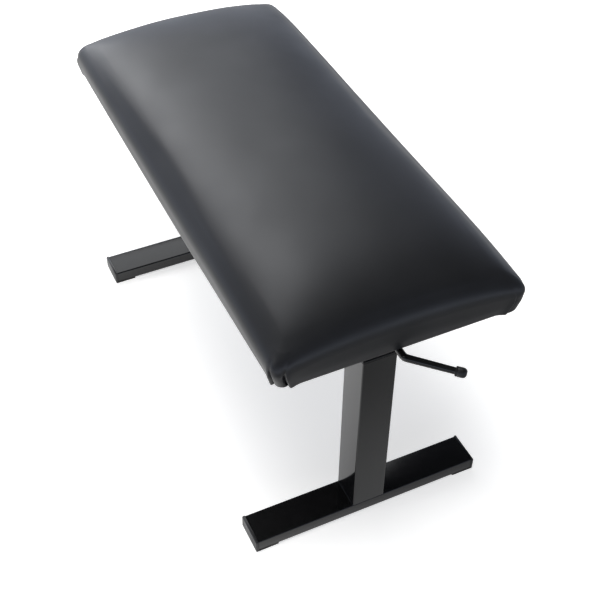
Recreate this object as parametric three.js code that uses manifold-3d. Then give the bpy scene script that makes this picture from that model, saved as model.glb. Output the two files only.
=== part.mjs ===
// Folding keyboard bench: a padded seat on two folding T-legs that telescope on lockable gas springs.
// Millimetres, +Z up. X runs along the seat (near end +X, where the lever is), Y across it, floor at z = 0.
import * as THREE from 'three';
import { mergeVertices } from 'three/addons/utils/BufferGeometryUtils.js';
import Module from 'manifold-3d';

const wasm = await Module();
wasm.setup();

// Gaps and drawing accuracy
const seatGap = 0.3; // between a piece and what it is fitted to
const overrun = 2; // how far a cutter runs past the face that it cuts
const weldDistance = 0.0001; // vertices nearer than this are one
const roundSides = 12;
const fineSides = 16;
const cornerSteps = 3;
const seatSteps = { long: 12, short: 7 }; // along the seat's sides
const boardSteps = { long: 1, short: 1 };

// Seat
const seatLength = 762;
const seatWidth = 344;
const seatThickness = 89;
const bandHeight = 36; // from the rim up to where the side is fullest
const bandBulge = 7; // how far the side swells past the rim
const sideDraw = 5; // how far the sides pull in between the corners
const crownLengthPower = 6; // flat along the seat
const crownWidthPower = 2; // round across it
const drawPower = 8; // keeps the draw-in to the sides
const cornerRadius = 14;
const coverThickness = 1.2;
const hemWidth = 28;
const dustCoverThickness = 0.6;
const boardThickness = 12;

// Foot, post and inner tube
const footLength = 355;
const footWidth = 50;
const footHeight = 20;
const tubeWall = 2;
const guideThickness = 3; // between the post's bore and the inner tube
const innerBottomRise = 23; // above the foot's top face, at the lowest seat height
const heightTravel = 110;
const padThickness = 1.8;
const padLength = 35;
const capFlange = 4;
const capProud = 0.5;
const capPlugDepth = 18;
const capWall = 3;
const ridgeDepth = 0.8;
const ridgeWidth = 1.6;
const ridgeCount = 4;

// Guides between post and inner tube
const collarDepth = 25;
const collarFlange = 3;
const glideHeight = 30;

// Leg pivots
const postTopNear = 319; // the near post's top edge above the floor
const foldGap = 2; // between a folded leg and what lies over it
const innerTopRise = 11; // from the pivot up to the inner tube's top
const pivotBoltDiameter = 8;
const pivotHeadDiameter = 14;
const pivotHeadThickness = 5;
const pivotNutDiameter = 13;
const pivotNutGap = 1; // between a welded nut and the gas cylinder
const bushDiameter = 16;

// Brackets under the board
const bracketThickness = 2.5;
const bracketLength = 76;
const bracketSideGap = 1; // between a folded post and the cheek beside it
const cheekShoulder = 12; // straight stretch below the web
const bracketScrewInset = 8; // from the web's end
const bracketScrewSide = 3; // between a screw's head and the cheek
const bracketScrewDiameter = 5;
const bracketHeadDiameter = 10;
const bracketHeadThickness = 2.8;
const bracketScrewDepth = 10.5; // into the board
const bracketScrewPoint = 3;

// Clamp knobs that hold the legs: each knob's stud runs in a curved slot of the bracket
const clampStudDiameter = 8;
const clampSlotEdge = 4.1; // material between the slot and the cheek's edge
const clampPostGap = 1; // between the stud and the collar under it
const clampHeadGap = 0.6; // between the washer and the pivot bolt's head
const clampWasherDiameter = 16;
const clampWasherThickness = 1.6;
const clampHubDiameter = 14;
const clampStarGap = 1.2; // between the star and the pivot bolt's head
const clampStarDiameter = 36;
const clampStarThickness = 14;
const clampStarEdge = 2; // rounding of the star's rims
const clampScallop = 3.5; // depth of the hollows between the lobes
const clampLobes = 6;
const clampLobeSteps = 8;
const clampSocketDepth = 7; // how far the stud reaches into the star

// Gas springs
const cylinderDiameter = 22;
const cylinderWall = 1.5;
const cylinderSpare = 40; // the chamber's length past the piston's stroke
const cylinderHead = 6;
const cylinderGland = 8;
const bossDiameter = 14;
const headPlateThickness = 4;
const bossNutDiameter = 22;
const bossNutThickness = 6;
const gasRodDiameter = 10;
const pistonThickness = 10;
const pistonDrop = 40; // below the cylinder's shoulder
const rodStudDiameter = 8;
const rodNutDiameter = 14;
const rodNutThickness = 6;
const pinDiameter = 5;
const pinValveDiameter = 8;
const pinValveThickness = 3;
const pinValveDrop = 14; // below the cylinder's shoulder

// Height lever
const leverDiameter = 10;
const leverBendReach = 10; // from the seat's rim out to where the axis turns aside
const leverBendRadius = 10;
const leverAngle = 45 * THREE.MathUtils.DEG2RAD;
const leverTipReach = 55.5; // from the bend to the tip, along the bench
const leverEndReach = 6; // past the far clip
const gripDiameter = 13;
const gripLength = 14;
const gripRound = 4.5;
const gripSocket = 10;
const camRadius = 7.7; // towards the pin at rest
const camRise = 3; // how far the cam presses the pin
const camPlay = 0.9; // between the sloping cam and the pin's round tip
const camHubWall = 0.6; // round the lever
const camWebGap = 0.5; // between the hub and the bracket over it
const camTurn = 30 * THREE.MathUtils.DEG2RAD;
const camHold = 15 * THREE.MathUtils.DEG2RAD; // the lobe's full radius beyond that turn
const camHubStart = 135 * THREE.MathUtils.DEG2RAD; // where the bare hub starts and ends
const camHubEnd = 306 * THREE.MathUtils.DEG2RAD;
const camWidth = 10;
const clipLength = 16;
const clipWidth = 42;
const clipFootThickness = 3;
const clipBodyWidth = 14;
const clipUnder = 1.7; // material under the lever
const clipScrewDiameter = 4;
const clipScrewDepth = 9; // into the board
const clipBracketGap = 2; // between an outer clip and the bracket beside it

// Push rod that reaches down to the far leg's gas spring
const pushDiameter = 6;
const pushHeadDiameter = 12;
const pushHeadThickness = 2;
const bridgeGap = 0.5; // between the bridge and the push rod's head when it is pressed
const bridgeLength = 22;

// Heights and half sizes that follow
const rimHalfLength = seatLength / 2 - bandBulge;
const rimHalfWidth = seatWidth / 2 - bandBulge;
const footTop = padThickness + footHeight;
const postWidth = footWidth; // their sides are flush
const postBore = postWidth - 2 * tubeWall;
const innerWidth = postBore - 2 * guideThickness;
const pivotNutThickness = innerWidth / 2 - tubeWall - cylinderDiameter / 2 - pivotNutGap;
const clampSpread = (pivotHeadDiameter + clampWasherDiameter) / 2 + clampHeadGap; // from the pivot
const clampOffset = clampSpread * Math.SQRT1_2; // the same along X and along Z
const postTopDrop = clampOffset + clampStudDiameter / 2 + clampPostGap + collarFlange; // below the pivot
const clampSlotHalf = clampStudDiameter / 2 + seatGap;
const cheekEndRadius = clampSpread + clampSlotHalf + clampSlotEdge;
const camHubRadius = leverDiameter / 2 + camHubWall;
const leverDrop = dustCoverThickness + bracketThickness + camWebGap + camHubRadius; // below the board
const clipReach = leverDiameter / 2 + seatGap + clipUnder; // from the lever's axis to a clip's underside
const nearPivotDrop = leverDrop + clipReach + foldGap + postWidth / 2; // below the board
// The far pivot is lower, so that the far leg folds under the near one
const farPivotDrop = nearPivotDrop + footWidth + 2 * capProud + foldGap;
const pivotNear = postTopNear + postTopDrop;
const boardBottom = pivotNear + nearPivotDrop;
const seatRim = boardBottom - coverThickness;
const webTop = boardBottom - dustCoverThickness;
const webBottom = webTop - bracketThickness;
const leverHeight = boardBottom - leverDrop;
const pinTop = leverHeight - camRadius - camPlay;
const pinRise = pinTop - pivotNear; // the release pin's tip above the pivot
const pivotFar = boardBottom - farPivotDrop;
const clipX = rimHalfLength - hemWidth + clipLength / 2; // the outer clips lie on the hem
const clipScrewY = (clipWidth + clipBodyWidth) / 4; // in the middle of each ear
const legX = clipX - clipLength / 2 - clipBracketGap - bracketLength / 2;
const cheekInner = postWidth / 2 + bracketSideGap;
const cheekOuter = cheekInner + bracketThickness;
const bracketScrewX = bracketLength / 2 - bracketScrewInset;
const bracketScrewY = cheekInner - bracketHeadDiameter / 2 - bracketScrewSide;
const leverBendX = rimHalfLength + leverBendReach;
const leverTipX = leverBendX + leverTipReach;
const leverTipY = leverTipReach * Math.tan(leverAngle);
const leverFarEnd = clipX + clipLength / 2 + leverEndReach;

// Materials
const finish = (color, roughness, metalness) => (
  new THREE.MeshStandardMaterial({ color, roughness, metalness })
);
const blackLeather = finish(0x232427, 0.42, 0);
const foamStuff = finish(0xd9cfa8, 0.95, 0);
const plywood = finish(0xb58f5f, 0.8, 0);
const blackCloth = finish(0x1a1a1b, 0.95, 0);
const blackPaint = finish(0x1d1e20, 0.45, 0.35);
const blackPlastic = finish(0x17181a, 0.6, 0);
const zincSteel = finish(0xb9bcc0, 0.35, 0.9);
const polishedSteel = finish(0xd2d4d6, 0.15, 1);
const naturalNylon = finish(0xe4e0d2, 0.5, 0);

const bench = new THREE.Group();

// Adds a named piece to a group
function addPiece(group, name, geometry, material, x = 0, y = 0, z = 0) {
  const mesh = new THREE.Mesh(geometry, material);
  mesh.name = name;
  mesh.position.set(x, y, z);
  group.add(mesh);
  return mesh;
}

function toSolid(geometry) {
  const bare = geometry.clone();
  bare.deleteAttribute('normal');
  bare.deleteAttribute('uv');
  const merged = mergeVertices(bare, weldDistance);
  const vertProperties = new Float32Array(merged.attributes.position.array);
  const triVerts = new Uint32Array(merged.index.array);
  return new wasm.Manifold(new wasm.Mesh({ numProp: 3, vertProperties, triVerts }));
}

function toGeometry(solid) {
  const mesh = solid.getMesh();
  const geometry = new THREE.BufferGeometry();
  geometry.setAttribute('position', new THREE.BufferAttribute(new Float32Array(mesh.vertProperties), 3));
  geometry.setIndex(new THREE.BufferAttribute(new Uint32Array(mesh.triVerts), 1));
  geometry.computeVertexNormals();
  return geometry;
}

function join(...shapes) {
  return toGeometry(shapes.map(toSolid).reduce((whole, next) => whole.add(next)));
}

function cut(shape, ...cutters) {
  return toGeometry(cutters.map(toSolid).reduce((whole, next) => whole.subtract(next), toSolid(shape)));
}

// A box between two corners
function boxBetween(low, high) {
  const size = high.map((value, axis) => value - low[axis]);
  return new THREE.BoxGeometry(...size).translate(...low.map((value, axis) => value + size[axis] / 2));
}

// A round bar from z = low to z = high
function roundBar(diameter, low, high, sides = roundSides) {
  return new THREE.CylinderGeometry(diameter / 2, diameter / 2, high - low, sides)
    .rotateX(Math.PI / 2)
    .translate(0, 0, (low + high) / 2);
}

// A round bar along Y from y = low to y = high, at x and z
function crossBar(diameter, low, high, x = 0, z = 0, sides = roundSides) {
  return new THREE.CylinderGeometry(diameter / 2, diameter / 2, high - low, sides)
    .translate(x, (low + high) / 2, z);
}

// A square tube's wall between two heights
function squareTube(outer, inner, low, high) {
  return cut(
    boxBetween([-outer / 2, -outer / 2, low], [outer / 2, outer / 2, high]),
    boxBetween([-inner / 2, -inner / 2, low - overrun], [inner / 2, inner / 2, high + overrun])
  );
}

// A turned piece from [radius, height] points
function turned(points, sides = fineSides) {
  return new THREE.LatheGeometry(points.map(([radius, height]) => new THREE.Vector2(radius, height)), sides)
    .rotateX(Math.PI / 2);
}

// A turned ring, whose profile closes on itself
function turnedRing(points, sides = fineSides) {
  return turned([...points, points[0]], sides);
}

// The outline of a rectangle with round corners, as points
function roundedOutline(halfX, halfY, radius, sideSteps) {
  const points = [];
  const corners = [[1, 1, 0], [-1, 1, 1], [-1, -1, 2], [1, -1, 3]];
  corners.forEach(([sideX, sideY, quarter], number) => {
    for (let step = 0; step <= cornerSteps; step += 1) {
      const angle = (quarter + step / cornerSteps) * (Math.PI / 2);
      points.push(new THREE.Vector2(
        sideX * (halfX - radius) + radius * Math.cos(angle),
        sideY * (halfY - radius) + radius * Math.sin(angle)
      ));
    }
    const steps = number % 2 === 0 ? sideSteps.long : sideSteps.short;
    const from = points[points.length - 1].clone();
    const along = number % 2 === 0
      ? new THREE.Vector2(-sideX * 2 * (halfX - radius), 0)
      : new THREE.Vector2(0, -sideY * 2 * (halfY - radius));
    for (let step = 1; step < steps; step += 1) {
      points.push(from.clone().addScaledVector(along, step / steps));
    }
  });
  return points;
}

// The padded body of the seat, drawn in by inset on every side: rings up its band and over its crown
function seatBody(inset) {
  const halfX = rimHalfLength - inset;
  const halfY = rimHalfWidth - inset;
  const bandShares = [0, 0.3, 0.65, 1];
  const crownShares = [0.985, 0.95, 0.88, 0.78, 0.62, 0.42, 0.2];
  const outline = roundedOutline(halfX, halfY, cornerRadius - inset, seatSteps);
  const rings = [];
  const swollen = (point, swell) => {
    const shareX = point.x / halfX;
    const shareY = point.y / halfY;
    const pullX = sideDraw * (1 - shareY ** 2) * Math.abs(shareX) ** drawPower;
    const pullY = sideDraw * (1 - shareX ** 2) * Math.abs(shareY) ** drawPower;
    return new THREE.Vector2(
      point.x + swell * (shareX * bandBulge - Math.sign(point.x) * pullX),
      point.y + swell * (shareY * bandBulge - Math.sign(point.y) * pullY)
    );
  };
  for (const share of bandShares) {
    const height = inset + (bandHeight - inset) * share;
    rings.push(outline.map((point) => {
      const place = swollen(point, Math.sin(share * Math.PI / 2));
      return [place.x, place.y, height];
    }));
  }
  const rise = seatThickness - inset - bandHeight;
  const crown = (point) => {
    const alongX = 1 - Math.abs(point.x / halfX) ** crownLengthPower;
    const alongY = 1 - Math.abs(point.y / halfY) ** crownWidthPower;
    return bandHeight + rise * Math.sqrt(Math.max(alongX * alongY, 0));
  };
  for (const share of crownShares) {
    rings.push(outline.map((point) => {
      const place = swollen(point, 1).multiplyScalar(share);
      return [place.x, place.y, crown(point.clone().multiplyScalar(share))];
    }));
  }
  const count = outline.length;
  const positions = rings.flat(2);
  const bottomCentre = rings.length * count;
  const topCentre = bottomCentre + 1;
  positions.push(0, 0, inset, 0, 0, bandHeight + rise);
  const faces = [];
  for (let side = 0; side < count; side += 1) {
    const next = (side + 1) % count;
    faces.push(bottomCentre, next, side);
    for (let ring = 0; ring + 1 < rings.length; ring += 1) {
      const low = ring * count;
      const high = low + count;
      faces.push(low + side, low + next, high + next, low + side, high + next, high + side);
    }
    const last = (rings.length - 1) * count;
    faces.push(topCentre, last + side, last + next);
  }
  const geometry = new THREE.BufferGeometry();
  geometry.setAttribute('position', new THREE.Float32BufferAttribute(positions, 3));
  geometry.setIndex(faces);
  geometry.computeVertexNormals();
  return geometry;
}

// Places of the screws and pilot holes in the board
const bracketScrewCorners = [1, -1].flatMap((alongX) => [1, -1].map((alongY) => (
  [alongX * bracketScrewX, alongY * bracketScrewY]
)));
const bracketScrewPlaces = [1, -1].flatMap((end) => bracketScrewCorners.map(([x, y]) => [end * legX + x, y]));
const clipPlaces = { near: clipX, middle: 0, far: -clipX };
const clipScrewPlaces = Object.values(clipPlaces).flatMap((x) => [[x, clipScrewY], [x, -clipScrewY]]);
const clipScrewHoles = clipScrewPlaces.map(([x, y]) => (
  roundBar(clipScrewDiameter + 2 * seatGap, -overrun, clipScrewDepth + 2 * seatGap).translate(x, y, 0)
));

function addSeat() {
  const seat = new THREE.Group();
  bench.add(seat);
  const hemOpening = boxBetween(
    [hemWidth - rimHalfLength, hemWidth - rimHalfWidth, -overrun],
    [rimHalfLength - hemWidth, rimHalfWidth - hemWidth, boardThickness]
  );
  const cover = cut(seatBody(0), seatBody(coverThickness), hemOpening, ...clipScrewHoles);
  addPiece(seat, 'seat_cover', cover, blackLeather, 0, 0, seatRim);

  const padBottom = coverThickness + boardThickness;
  const underPad = boxBetween([-seatLength, -seatWidth, -overrun], [seatLength, seatWidth, padBottom]);
  addPiece(seat, 'foam_pad', cut(seatBody(coverThickness + seatGap), underPad), foamStuff, 0, 0, seatRim);

  const boardInset = coverThickness + seatGap;
  const boardOutline = roundedOutline(
    rimHalfLength - boardInset, rimHalfWidth - boardInset, cornerRadius - boardInset, boardSteps
  );
  const blank = new THREE.ExtrudeGeometry(new THREE.Shape(boardOutline), {
    depth: boardThickness, bevelEnabled: false
  });
  const bracketPilots = bracketScrewPlaces.map(([x, y]) => (
    roundBar(bracketScrewDiameter + 2 * seatGap, -overrun, bracketScrewDepth + 2 * seatGap).translate(x, y, 0)
  ));
  const board = cut(blank, ...bracketPilots, ...clipScrewHoles);
  addPiece(seat, 'seat_board', board, plywood, 0, 0, boardBottom);

  const sheet = boxBetween(
    [hemWidth + seatGap - rimHalfLength, hemWidth + seatGap - rimHalfWidth, 0],
    [rimHalfLength - hemWidth - seatGap, rimHalfWidth - hemWidth - seatGap, dustCoverThickness]
  );
  const sheetCuts = bracketScrewPlaces.concat(clipScrewPlaces).map(([x, y]) => (
    roundBar(bracketScrewDiameter + 2 * seatGap, -overrun, dustCoverThickness + overrun).translate(x, y, 0)
  ));
  addPiece(seat, 'dust_cover', cut(sheet, ...sheetCuts), blackCloth, 0, 0, boardBottom - dustCoverThickness);
}

// The curved slot for a clamp's stud, which lies below the pivot and rises above it as the leg folds
function clampSlot(inward) {
  const middle = inward > 0 ? 0 : Math.PI;
  const start = middle - Math.PI / 4;
  const end = middle + Math.PI / 4;
  const roundEnd = (angle, from) => {
    const x = clampSpread * Math.cos(angle);
    const y = clampSpread * Math.sin(angle);
    slot.absarc(x, y, clampSlotHalf, from, from + Math.PI);
  };
  const slot = new THREE.Shape();
  slot.absarc(0, 0, clampSpread + clampSlotHalf, start, end, false);
  roundEnd(end, end);
  slot.absarc(0, 0, clampSpread - clampSlotHalf, end, start, true);
  roundEnd(start, start + Math.PI);
  return new THREE.ExtrudeGeometry(slot, {
    depth: bracketThickness + 2 * overrun, bevelEnabled: false, curveSegments: roundSides
  }).rotateX(Math.PI / 2);
}

// The bracket that carries one leg: a web under the board and two cheeks beside the inner tube
function bracketShape(pivotHeight, inward, hasBridge) {
  const cheek = new THREE.Shape();
  const half = bracketLength / 2;
  const shoulder = webTop - cheekShoulder;
  cheek.moveTo(-half, webTop);
  cheek.lineTo(-half, shoulder);
  const spread = Math.atan2(half - cheekEndRadius, shoulder - pivotHeight);
  cheek.absarc(0, pivotHeight, cheekEndRadius, Math.PI + spread / 2, 2 * Math.PI - spread / 2, false);
  cheek.lineTo(half, shoulder);
  cheek.lineTo(half, webTop);
  const plate = new THREE.ExtrudeGeometry(cheek, {
    depth: bracketThickness, bevelEnabled: false, curveSegments: roundSides
  }).rotateX(Math.PI / 2);
  const web = boxBetween([-half, -cheekOuter, webBottom], [half, cheekOuter, webTop]);
  const parts = [web, plate.clone().translate(0, cheekOuter, 0), plate.clone().translate(0, -cheekInner, 0)];
  const cutters = [
    crossBar(pivotBoltDiameter + 2 * seatGap, -cheekOuter - overrun, cheekOuter + overrun, 0, pivotHeight),
    clampSlot(inward).translate(0, overrun - cheekInner, pivotHeight)
  ];
  for (const [x, y] of bracketScrewCorners) {
    cutters.push(roundBar(bracketScrewDiameter + 2 * seatGap, webBottom - overrun, webTop + overrun)
      .translate(x, y, 0));
  }
  if (hasBridge) {
    const bridgeTop = pinTop - pushDiameter / 2 - pushHeadThickness - camRise - bridgeGap;
    parts.push(boxBetween([-bridgeLength / 2, -cheekOuter, bridgeTop - bracketThickness],
      [bridgeLength / 2, cheekOuter, bridgeTop]));
    cutters.push(roundBar(pushDiameter + 2 * seatGap, bridgeTop - bracketThickness - overrun,
      bridgeTop + overrun));
  }
  return cut(join(...parts), ...cutters);
}

// One end cap of a foot: sole pad, end plate with ridges, and a hollow plug inside the tube
function footCap(side) {
  const endInner = footLength / 2 - capFlange;
  const along = (from, to) => (side > 0 ? [from, to] : [-to, -from]);
  const slab = (halfX, from, to, low, high) => {
    const [start, stop] = along(from, to);
    return boxBetween([-halfX, start, low], [halfX, stop, high]);
  };
  const plugHalf = footWidth / 2 - tubeWall - seatGap;
  const plugLow = padThickness + tubeWall + seatGap;
  const plugHigh = footTop - tubeWall - seatGap;
  const parts = [
    slab(footWidth / 2, footLength / 2 - padLength, endInner + capFlange / 2, 0, padThickness),
    slab(footWidth / 2 + capProud, endInner, footLength / 2 - ridgeDepth, 0, footTop + capProud),
    slab(plugHalf, endInner - capPlugDepth, endInner + capFlange / 2, plugLow, plugHigh)
  ];
  const ridgePitch = (footTop + capProud) / (ridgeCount + 1);
  for (let number = 1; number <= ridgeCount; number += 1) {
    const middle = ridgePitch * number;
    parts.push(slab(footWidth / 2 + capProud, endInner + capFlange / 2, footLength / 2,
      middle - ridgeWidth / 2, middle + ridgeWidth / 2));
  }
  const hollow = slab(plugHalf - capWall, endInner - capPlugDepth - overrun, endInner,
    plugLow + capWall, plugHigh - capWall);
  return cut(join(...parts), hollow);
}

// The clamp of one leg: a star knob on a stud, and a washer under its hub
function addClamp(group, name, inward, pivotHeight, studEnd) {
  const x = inward * clampOffset;
  const z = pivotHeight - clampOffset;
  // Drawn upwards as distances from the bench's middle plane, and turned to point along -Y
  const sideways = (geometry) => geometry.rotateX(Math.PI / 2);
  const washerStart = cheekOuter + seatGap;
  const hubStart = washerStart + clampWasherThickness + seatGap;
  const starStart = cheekOuter + seatGap + pivotHeadThickness + clampStarGap;
  const studTop = starStart + clampSocketDepth;
  const bore = clampStudDiameter + 2 * seatGap;

  const stud = roundBar(clampStudDiameter, studEnd, studTop);
  addPiece(group, `${name}_clamp_stud`, sideways(stud), zincSteel, x, 0, z);
  const washer = cut(
    roundBar(clampWasherDiameter, washerStart, washerStart + clampWasherThickness, fineSides),
    roundBar(bore, washerStart - overrun, hubStart + overrun)
  );
  addPiece(group, `${name}_clamp_washer`, sideways(washer), zincSteel, x, 0, z);

  const outline = [];
  const steps = clampLobes * clampLobeSteps;
  for (let step = 0; step < steps; step += 1) {
    const turn = (step / steps) * 2 * Math.PI;
    const radius = clampStarDiameter / 2 - clampScallop * (1 - Math.cos(clampLobes * turn)) / 2;
    outline.push(new THREE.Vector2(radius * Math.cos(turn), radius * Math.sin(turn)));
  }
  const star = new THREE.ExtrudeGeometry(new THREE.Shape(outline), {
    depth: clampStarThickness - 2 * clampStarEdge,
    bevelThickness: clampStarEdge,
    bevelSize: clampStarEdge,
    bevelOffset: -clampStarEdge,
    bevelSegments: 2
  }).translate(0, 0, starStart + clampStarEdge);
  const knob = cut(
    join(star, roundBar(clampHubDiameter, hubStart, starStart + clampStarEdge, fineSides)),
    roundBar(bore, hubStart - overrun, studTop + seatGap)
  );
  addPiece(group, `${name}_clamp_knob`, sideways(knob), blackPlastic, x, 0, z);
}

// The lever's cam, in the plane of Y and Z: a lobe whose radius grows by camRise over camTurn
function camLobe() {
  const points = [];
  const addPoint = (turn, radius) => { // turn is counted from straight down towards -Y
    points.push(new THREE.Vector2(-radius * Math.sin(turn), -radius * Math.cos(turn)));
  };
  const lobeShares = [0, 0.25, 0.5, 0.75, 1];
  for (const share of lobeShares) {
    addPoint(share * camTurn, camRadius + camRise * share);
  }
  addPoint(camTurn + camHold, camRadius + camRise);
  for (const share of lobeShares) {
    addPoint(camHubStart + (camHubEnd - camHubStart) * share, camHubRadius);
  }
  return new THREE.ExtrudeGeometry(new THREE.Shape(points), { depth: camWidth, bevelEnabled: false })
    .translate(0, 0, -camWidth / 2)
    .applyMatrix4(new THREE.Matrix4().makeBasis(
      new THREE.Vector3(0, 1, 0), new THREE.Vector3(0, 0, 1), new THREE.Vector3(1, 0, 0)
    ));
}

function addLeg(name, inward, pivotHeight) {
  const leg = new THREE.Group();
  leg.position.x = -inward * legX;
  bench.add(leg);
  const isFar = inward > 0;

  // Foot, post and what is fixed to them
  const footEnd = footLength / 2 - capFlange;
  const footTube = cut(
    boxBetween([-footWidth / 2, -footEnd, padThickness], [footWidth / 2, footEnd, footTop]),
    boxBetween([tubeWall - footWidth / 2, -footEnd - overrun, padThickness + tubeWall],
      [footWidth / 2 - tubeWall, footEnd + overrun, footTop - tubeWall]),
    roundBar(rodStudDiameter + 2 * seatGap, footTop - tubeWall - overrun, footTop + overrun)
  );
  addPiece(leg, `${name}_foot`, footTube, blackPaint);
  addPiece(leg, `${name}_foot_cap_left`, footCap(-1), blackPlastic);
  addPiece(leg, `${name}_foot_cap_right`, footCap(1), blackPlastic);
  const postTop = pivotHeight - postTopDrop;
  addPiece(leg, `${name}_post`, squareTube(postWidth, postBore, footTop, postTop), blackPaint);
  const collarBore = innerWidth + 2 * seatGap;
  const collar = join(
    squareTube(postBore, collarBore, postTop - collarDepth, postTop + collarFlange),
    squareTube(postWidth, collarBore, postTop, postTop + collarFlange)
  );
  addPiece(leg, `${name}_guide_collar`, collar, blackPlastic);

  // Inner tube with its holes, glide and head plate
  const innerBottom = footTop + innerBottomRise;
  const innerTop = pivotHeight + innerTopRise;
  const nutInner = innerWidth / 2 - tubeWall - pivotNutThickness;
  const weldNut = (low, high, x, z) => crossBar(pivotNutDiameter, low, high, x, z, 6);
  const clampX = inward * clampOffset;
  const clampZ = pivotHeight - clampOffset;
  const innerTube = cut(
    join(
      squareTube(innerWidth, innerWidth - 2 * tubeWall, innerBottom, innerTop),
      weldNut(nutInner, innerWidth / 2 - tubeWall / 2, 0, pivotHeight),
      weldNut(tubeWall / 2 - innerWidth / 2, -nutInner, 0, pivotHeight),
      weldNut(tubeWall / 2 - innerWidth / 2, -nutInner, clampX, clampZ)
    ),
    crossBar(pivotBoltDiameter + 2 * seatGap, -innerWidth, innerWidth, 0, pivotHeight),
    crossBar(clampStudDiameter + 2 * seatGap, -innerWidth, 0, clampX, clampZ)
  );
  addPiece(leg, `${name}_inner_tube`, innerTube, zincSteel);
  addPiece(leg, `${name}_glide`, squareTube(postBore - 2 * seatGap, innerWidth, innerBottom,
    innerBottom + glideHeight), naturalNylon);
  const headBottom = innerTop - headPlateThickness;
  const headHalf = innerWidth / 2 - tubeWall;
  const bossTop = innerTop + bossNutThickness;
  const headPlate = cut(
    join(
      boxBetween([-headHalf, -headHalf, headBottom], [headHalf, headHalf, innerTop]),
      roundBar(bossNutDiameter, headBottom, bossTop - seatGap, 6)
    ),
    roundBar(bossDiameter + 2 * seatGap, headBottom - overrun, bossTop + overrun, fineSides)
  );
  addPiece(leg, `${name}_head_plate`, headPlate, zincSteel);

  // Gas spring: cylinder hung from the head plate, rod bolted to the foot, release pin on top
  const shoulder = headBottom - seatGap;
  const cylinderBottom = shoulder - pistonDrop - heightTravel - cylinderSpare - cylinderGland;
  const pinBore = pinDiameter / 2 + seatGap;
  const cylinder = turnedRing([
    [gasRodDiameter / 2 + seatGap, cylinderBottom],
    [cylinderDiameter / 2, cylinderBottom],
    [cylinderDiameter / 2, shoulder],
    [bossDiameter / 2, shoulder],
    [bossDiameter / 2, bossTop],
    [pinBore, bossTop],
    [pinBore, shoulder - cylinderHead],
    [cylinderDiameter / 2 - cylinderWall, shoulder - cylinderHead],
    [cylinderDiameter / 2 - cylinderWall, cylinderBottom + cylinderGland],
    [gasRodDiameter / 2 + seatGap, cylinderBottom + cylinderGland]
  ]);
  addPiece(leg, `${name}_gas_cylinder`, cylinder, blackPaint);
  const studBottom = footTop - tubeWall - seatGap - rodNutThickness;
  const pistonBottom = shoulder - pistonDrop;
  const pistonRadius = cylinderDiameter / 2 - cylinderWall - seatGap;
  const gasRod = turned([
    [0, studBottom],
    [rodStudDiameter / 2, studBottom],
    [rodStudDiameter / 2, footTop + seatGap],
    [gasRodDiameter / 2, footTop + seatGap],
    [gasRodDiameter / 2, pistonBottom],
    [pistonRadius, pistonBottom],
    [pistonRadius, pistonBottom + pistonThickness],
    [0, pistonBottom + pistonThickness]
  ]);
  addPiece(leg, `${name}_gas_rod`, gasRod, polishedSteel);
  const rodNut = cut(
    roundBar(rodNutDiameter, studBottom, studBottom + rodNutThickness, 6),
    roundBar(rodStudDiameter + 2 * seatGap, studBottom - overrun, footTop)
  );
  addPiece(leg, `${name}_rod_nut`, rodNut, zincSteel);
  const valveTop = shoulder - pinValveDrop;
  const tipRadius = pinDiameter / 2;
  const pinTip = pivotHeight + pinRise;
  const releasePin = turned([
    [0, valveTop - pinValveThickness],
    [pinValveDiameter / 2, valveTop - pinValveThickness],
    [pinValveDiameter / 2, valveTop],
    [tipRadius, valveTop],
    ...domePoints(tipRadius, pinTip)
  ]);
  addPiece(leg, `${name}_release_pin`, releasePin, polishedSteel);

  // Pivot: a stub bolt and a welded nut on each side, with a bush between tube and cheek
  for (const [hand, side] of [['left', -1], ['right', 1]]) {
    const flip = (geometry) => (side > 0 ? geometry : geometry.rotateZ(Math.PI));
    const headStart = cheekOuter + seatGap;
    const bolt = join(
      crossBar(pivotBoltDiameter, nutInner, headStart + pivotHeadThickness / 2),
      crossBar(pivotHeadDiameter, headStart, headStart + pivotHeadThickness, 0, 0, 6)
    );
    const bush = cut(
      crossBar(bushDiameter, innerWidth / 2 + seatGap, cheekInner - seatGap),
      crossBar(pivotBoltDiameter + 2 * seatGap, innerWidth / 2 - overrun, cheekInner + overrun)
    );
    addPiece(leg, `${name}_pivot_bolt_${hand}`, flip(bolt), zincSteel, 0, 0, pivotHeight);
    addPiece(leg, `${name}_pivot_bush_${hand}`, flip(bush), naturalNylon, 0, 0, pivotHeight);
  }

  // Bracket with its screws, and the clamp
  addPiece(leg, `${name}_bracket`, bracketShape(pivotHeight, inward, isFar), blackPaint);
  bracketScrewCorners.forEach(([x, y], number) => {
    addPiece(leg, `${name}_bracket_screw_${number + 1}`, bracketScrew(), zincSteel, x, y, webBottom);
  });
  addClamp(leg, name, inward, pivotHeight, nutInner);
}

// A round-headed wood screw, its head below z = 0 and its shank above
function bracketScrew() {
  const tip = boardBottom + bracketScrewDepth - webBottom;
  return turned([
    [0, -bracketHeadThickness],
    [bracketHeadDiameter / 4, -bracketHeadThickness],
    [bracketHeadDiameter / 2, -bracketHeadThickness / 2],
    [bracketHeadDiameter / 2, 0],
    [bracketScrewDiameter / 2, 0],
    [bracketScrewDiameter / 2, tip - bracketScrewPoint],
    [0, tip]
  ], roundSides);
}

// Points of a round tip that ends on the axis
function domePoints(radius, top) {
  return [0, 1, 2, 3].map((step) => {
    const angle = (step / 3) * (Math.PI / 2);
    return [step === 3 ? 0 : radius * Math.cos(angle), top - radius + radius * Math.sin(angle)];
  });
}

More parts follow.
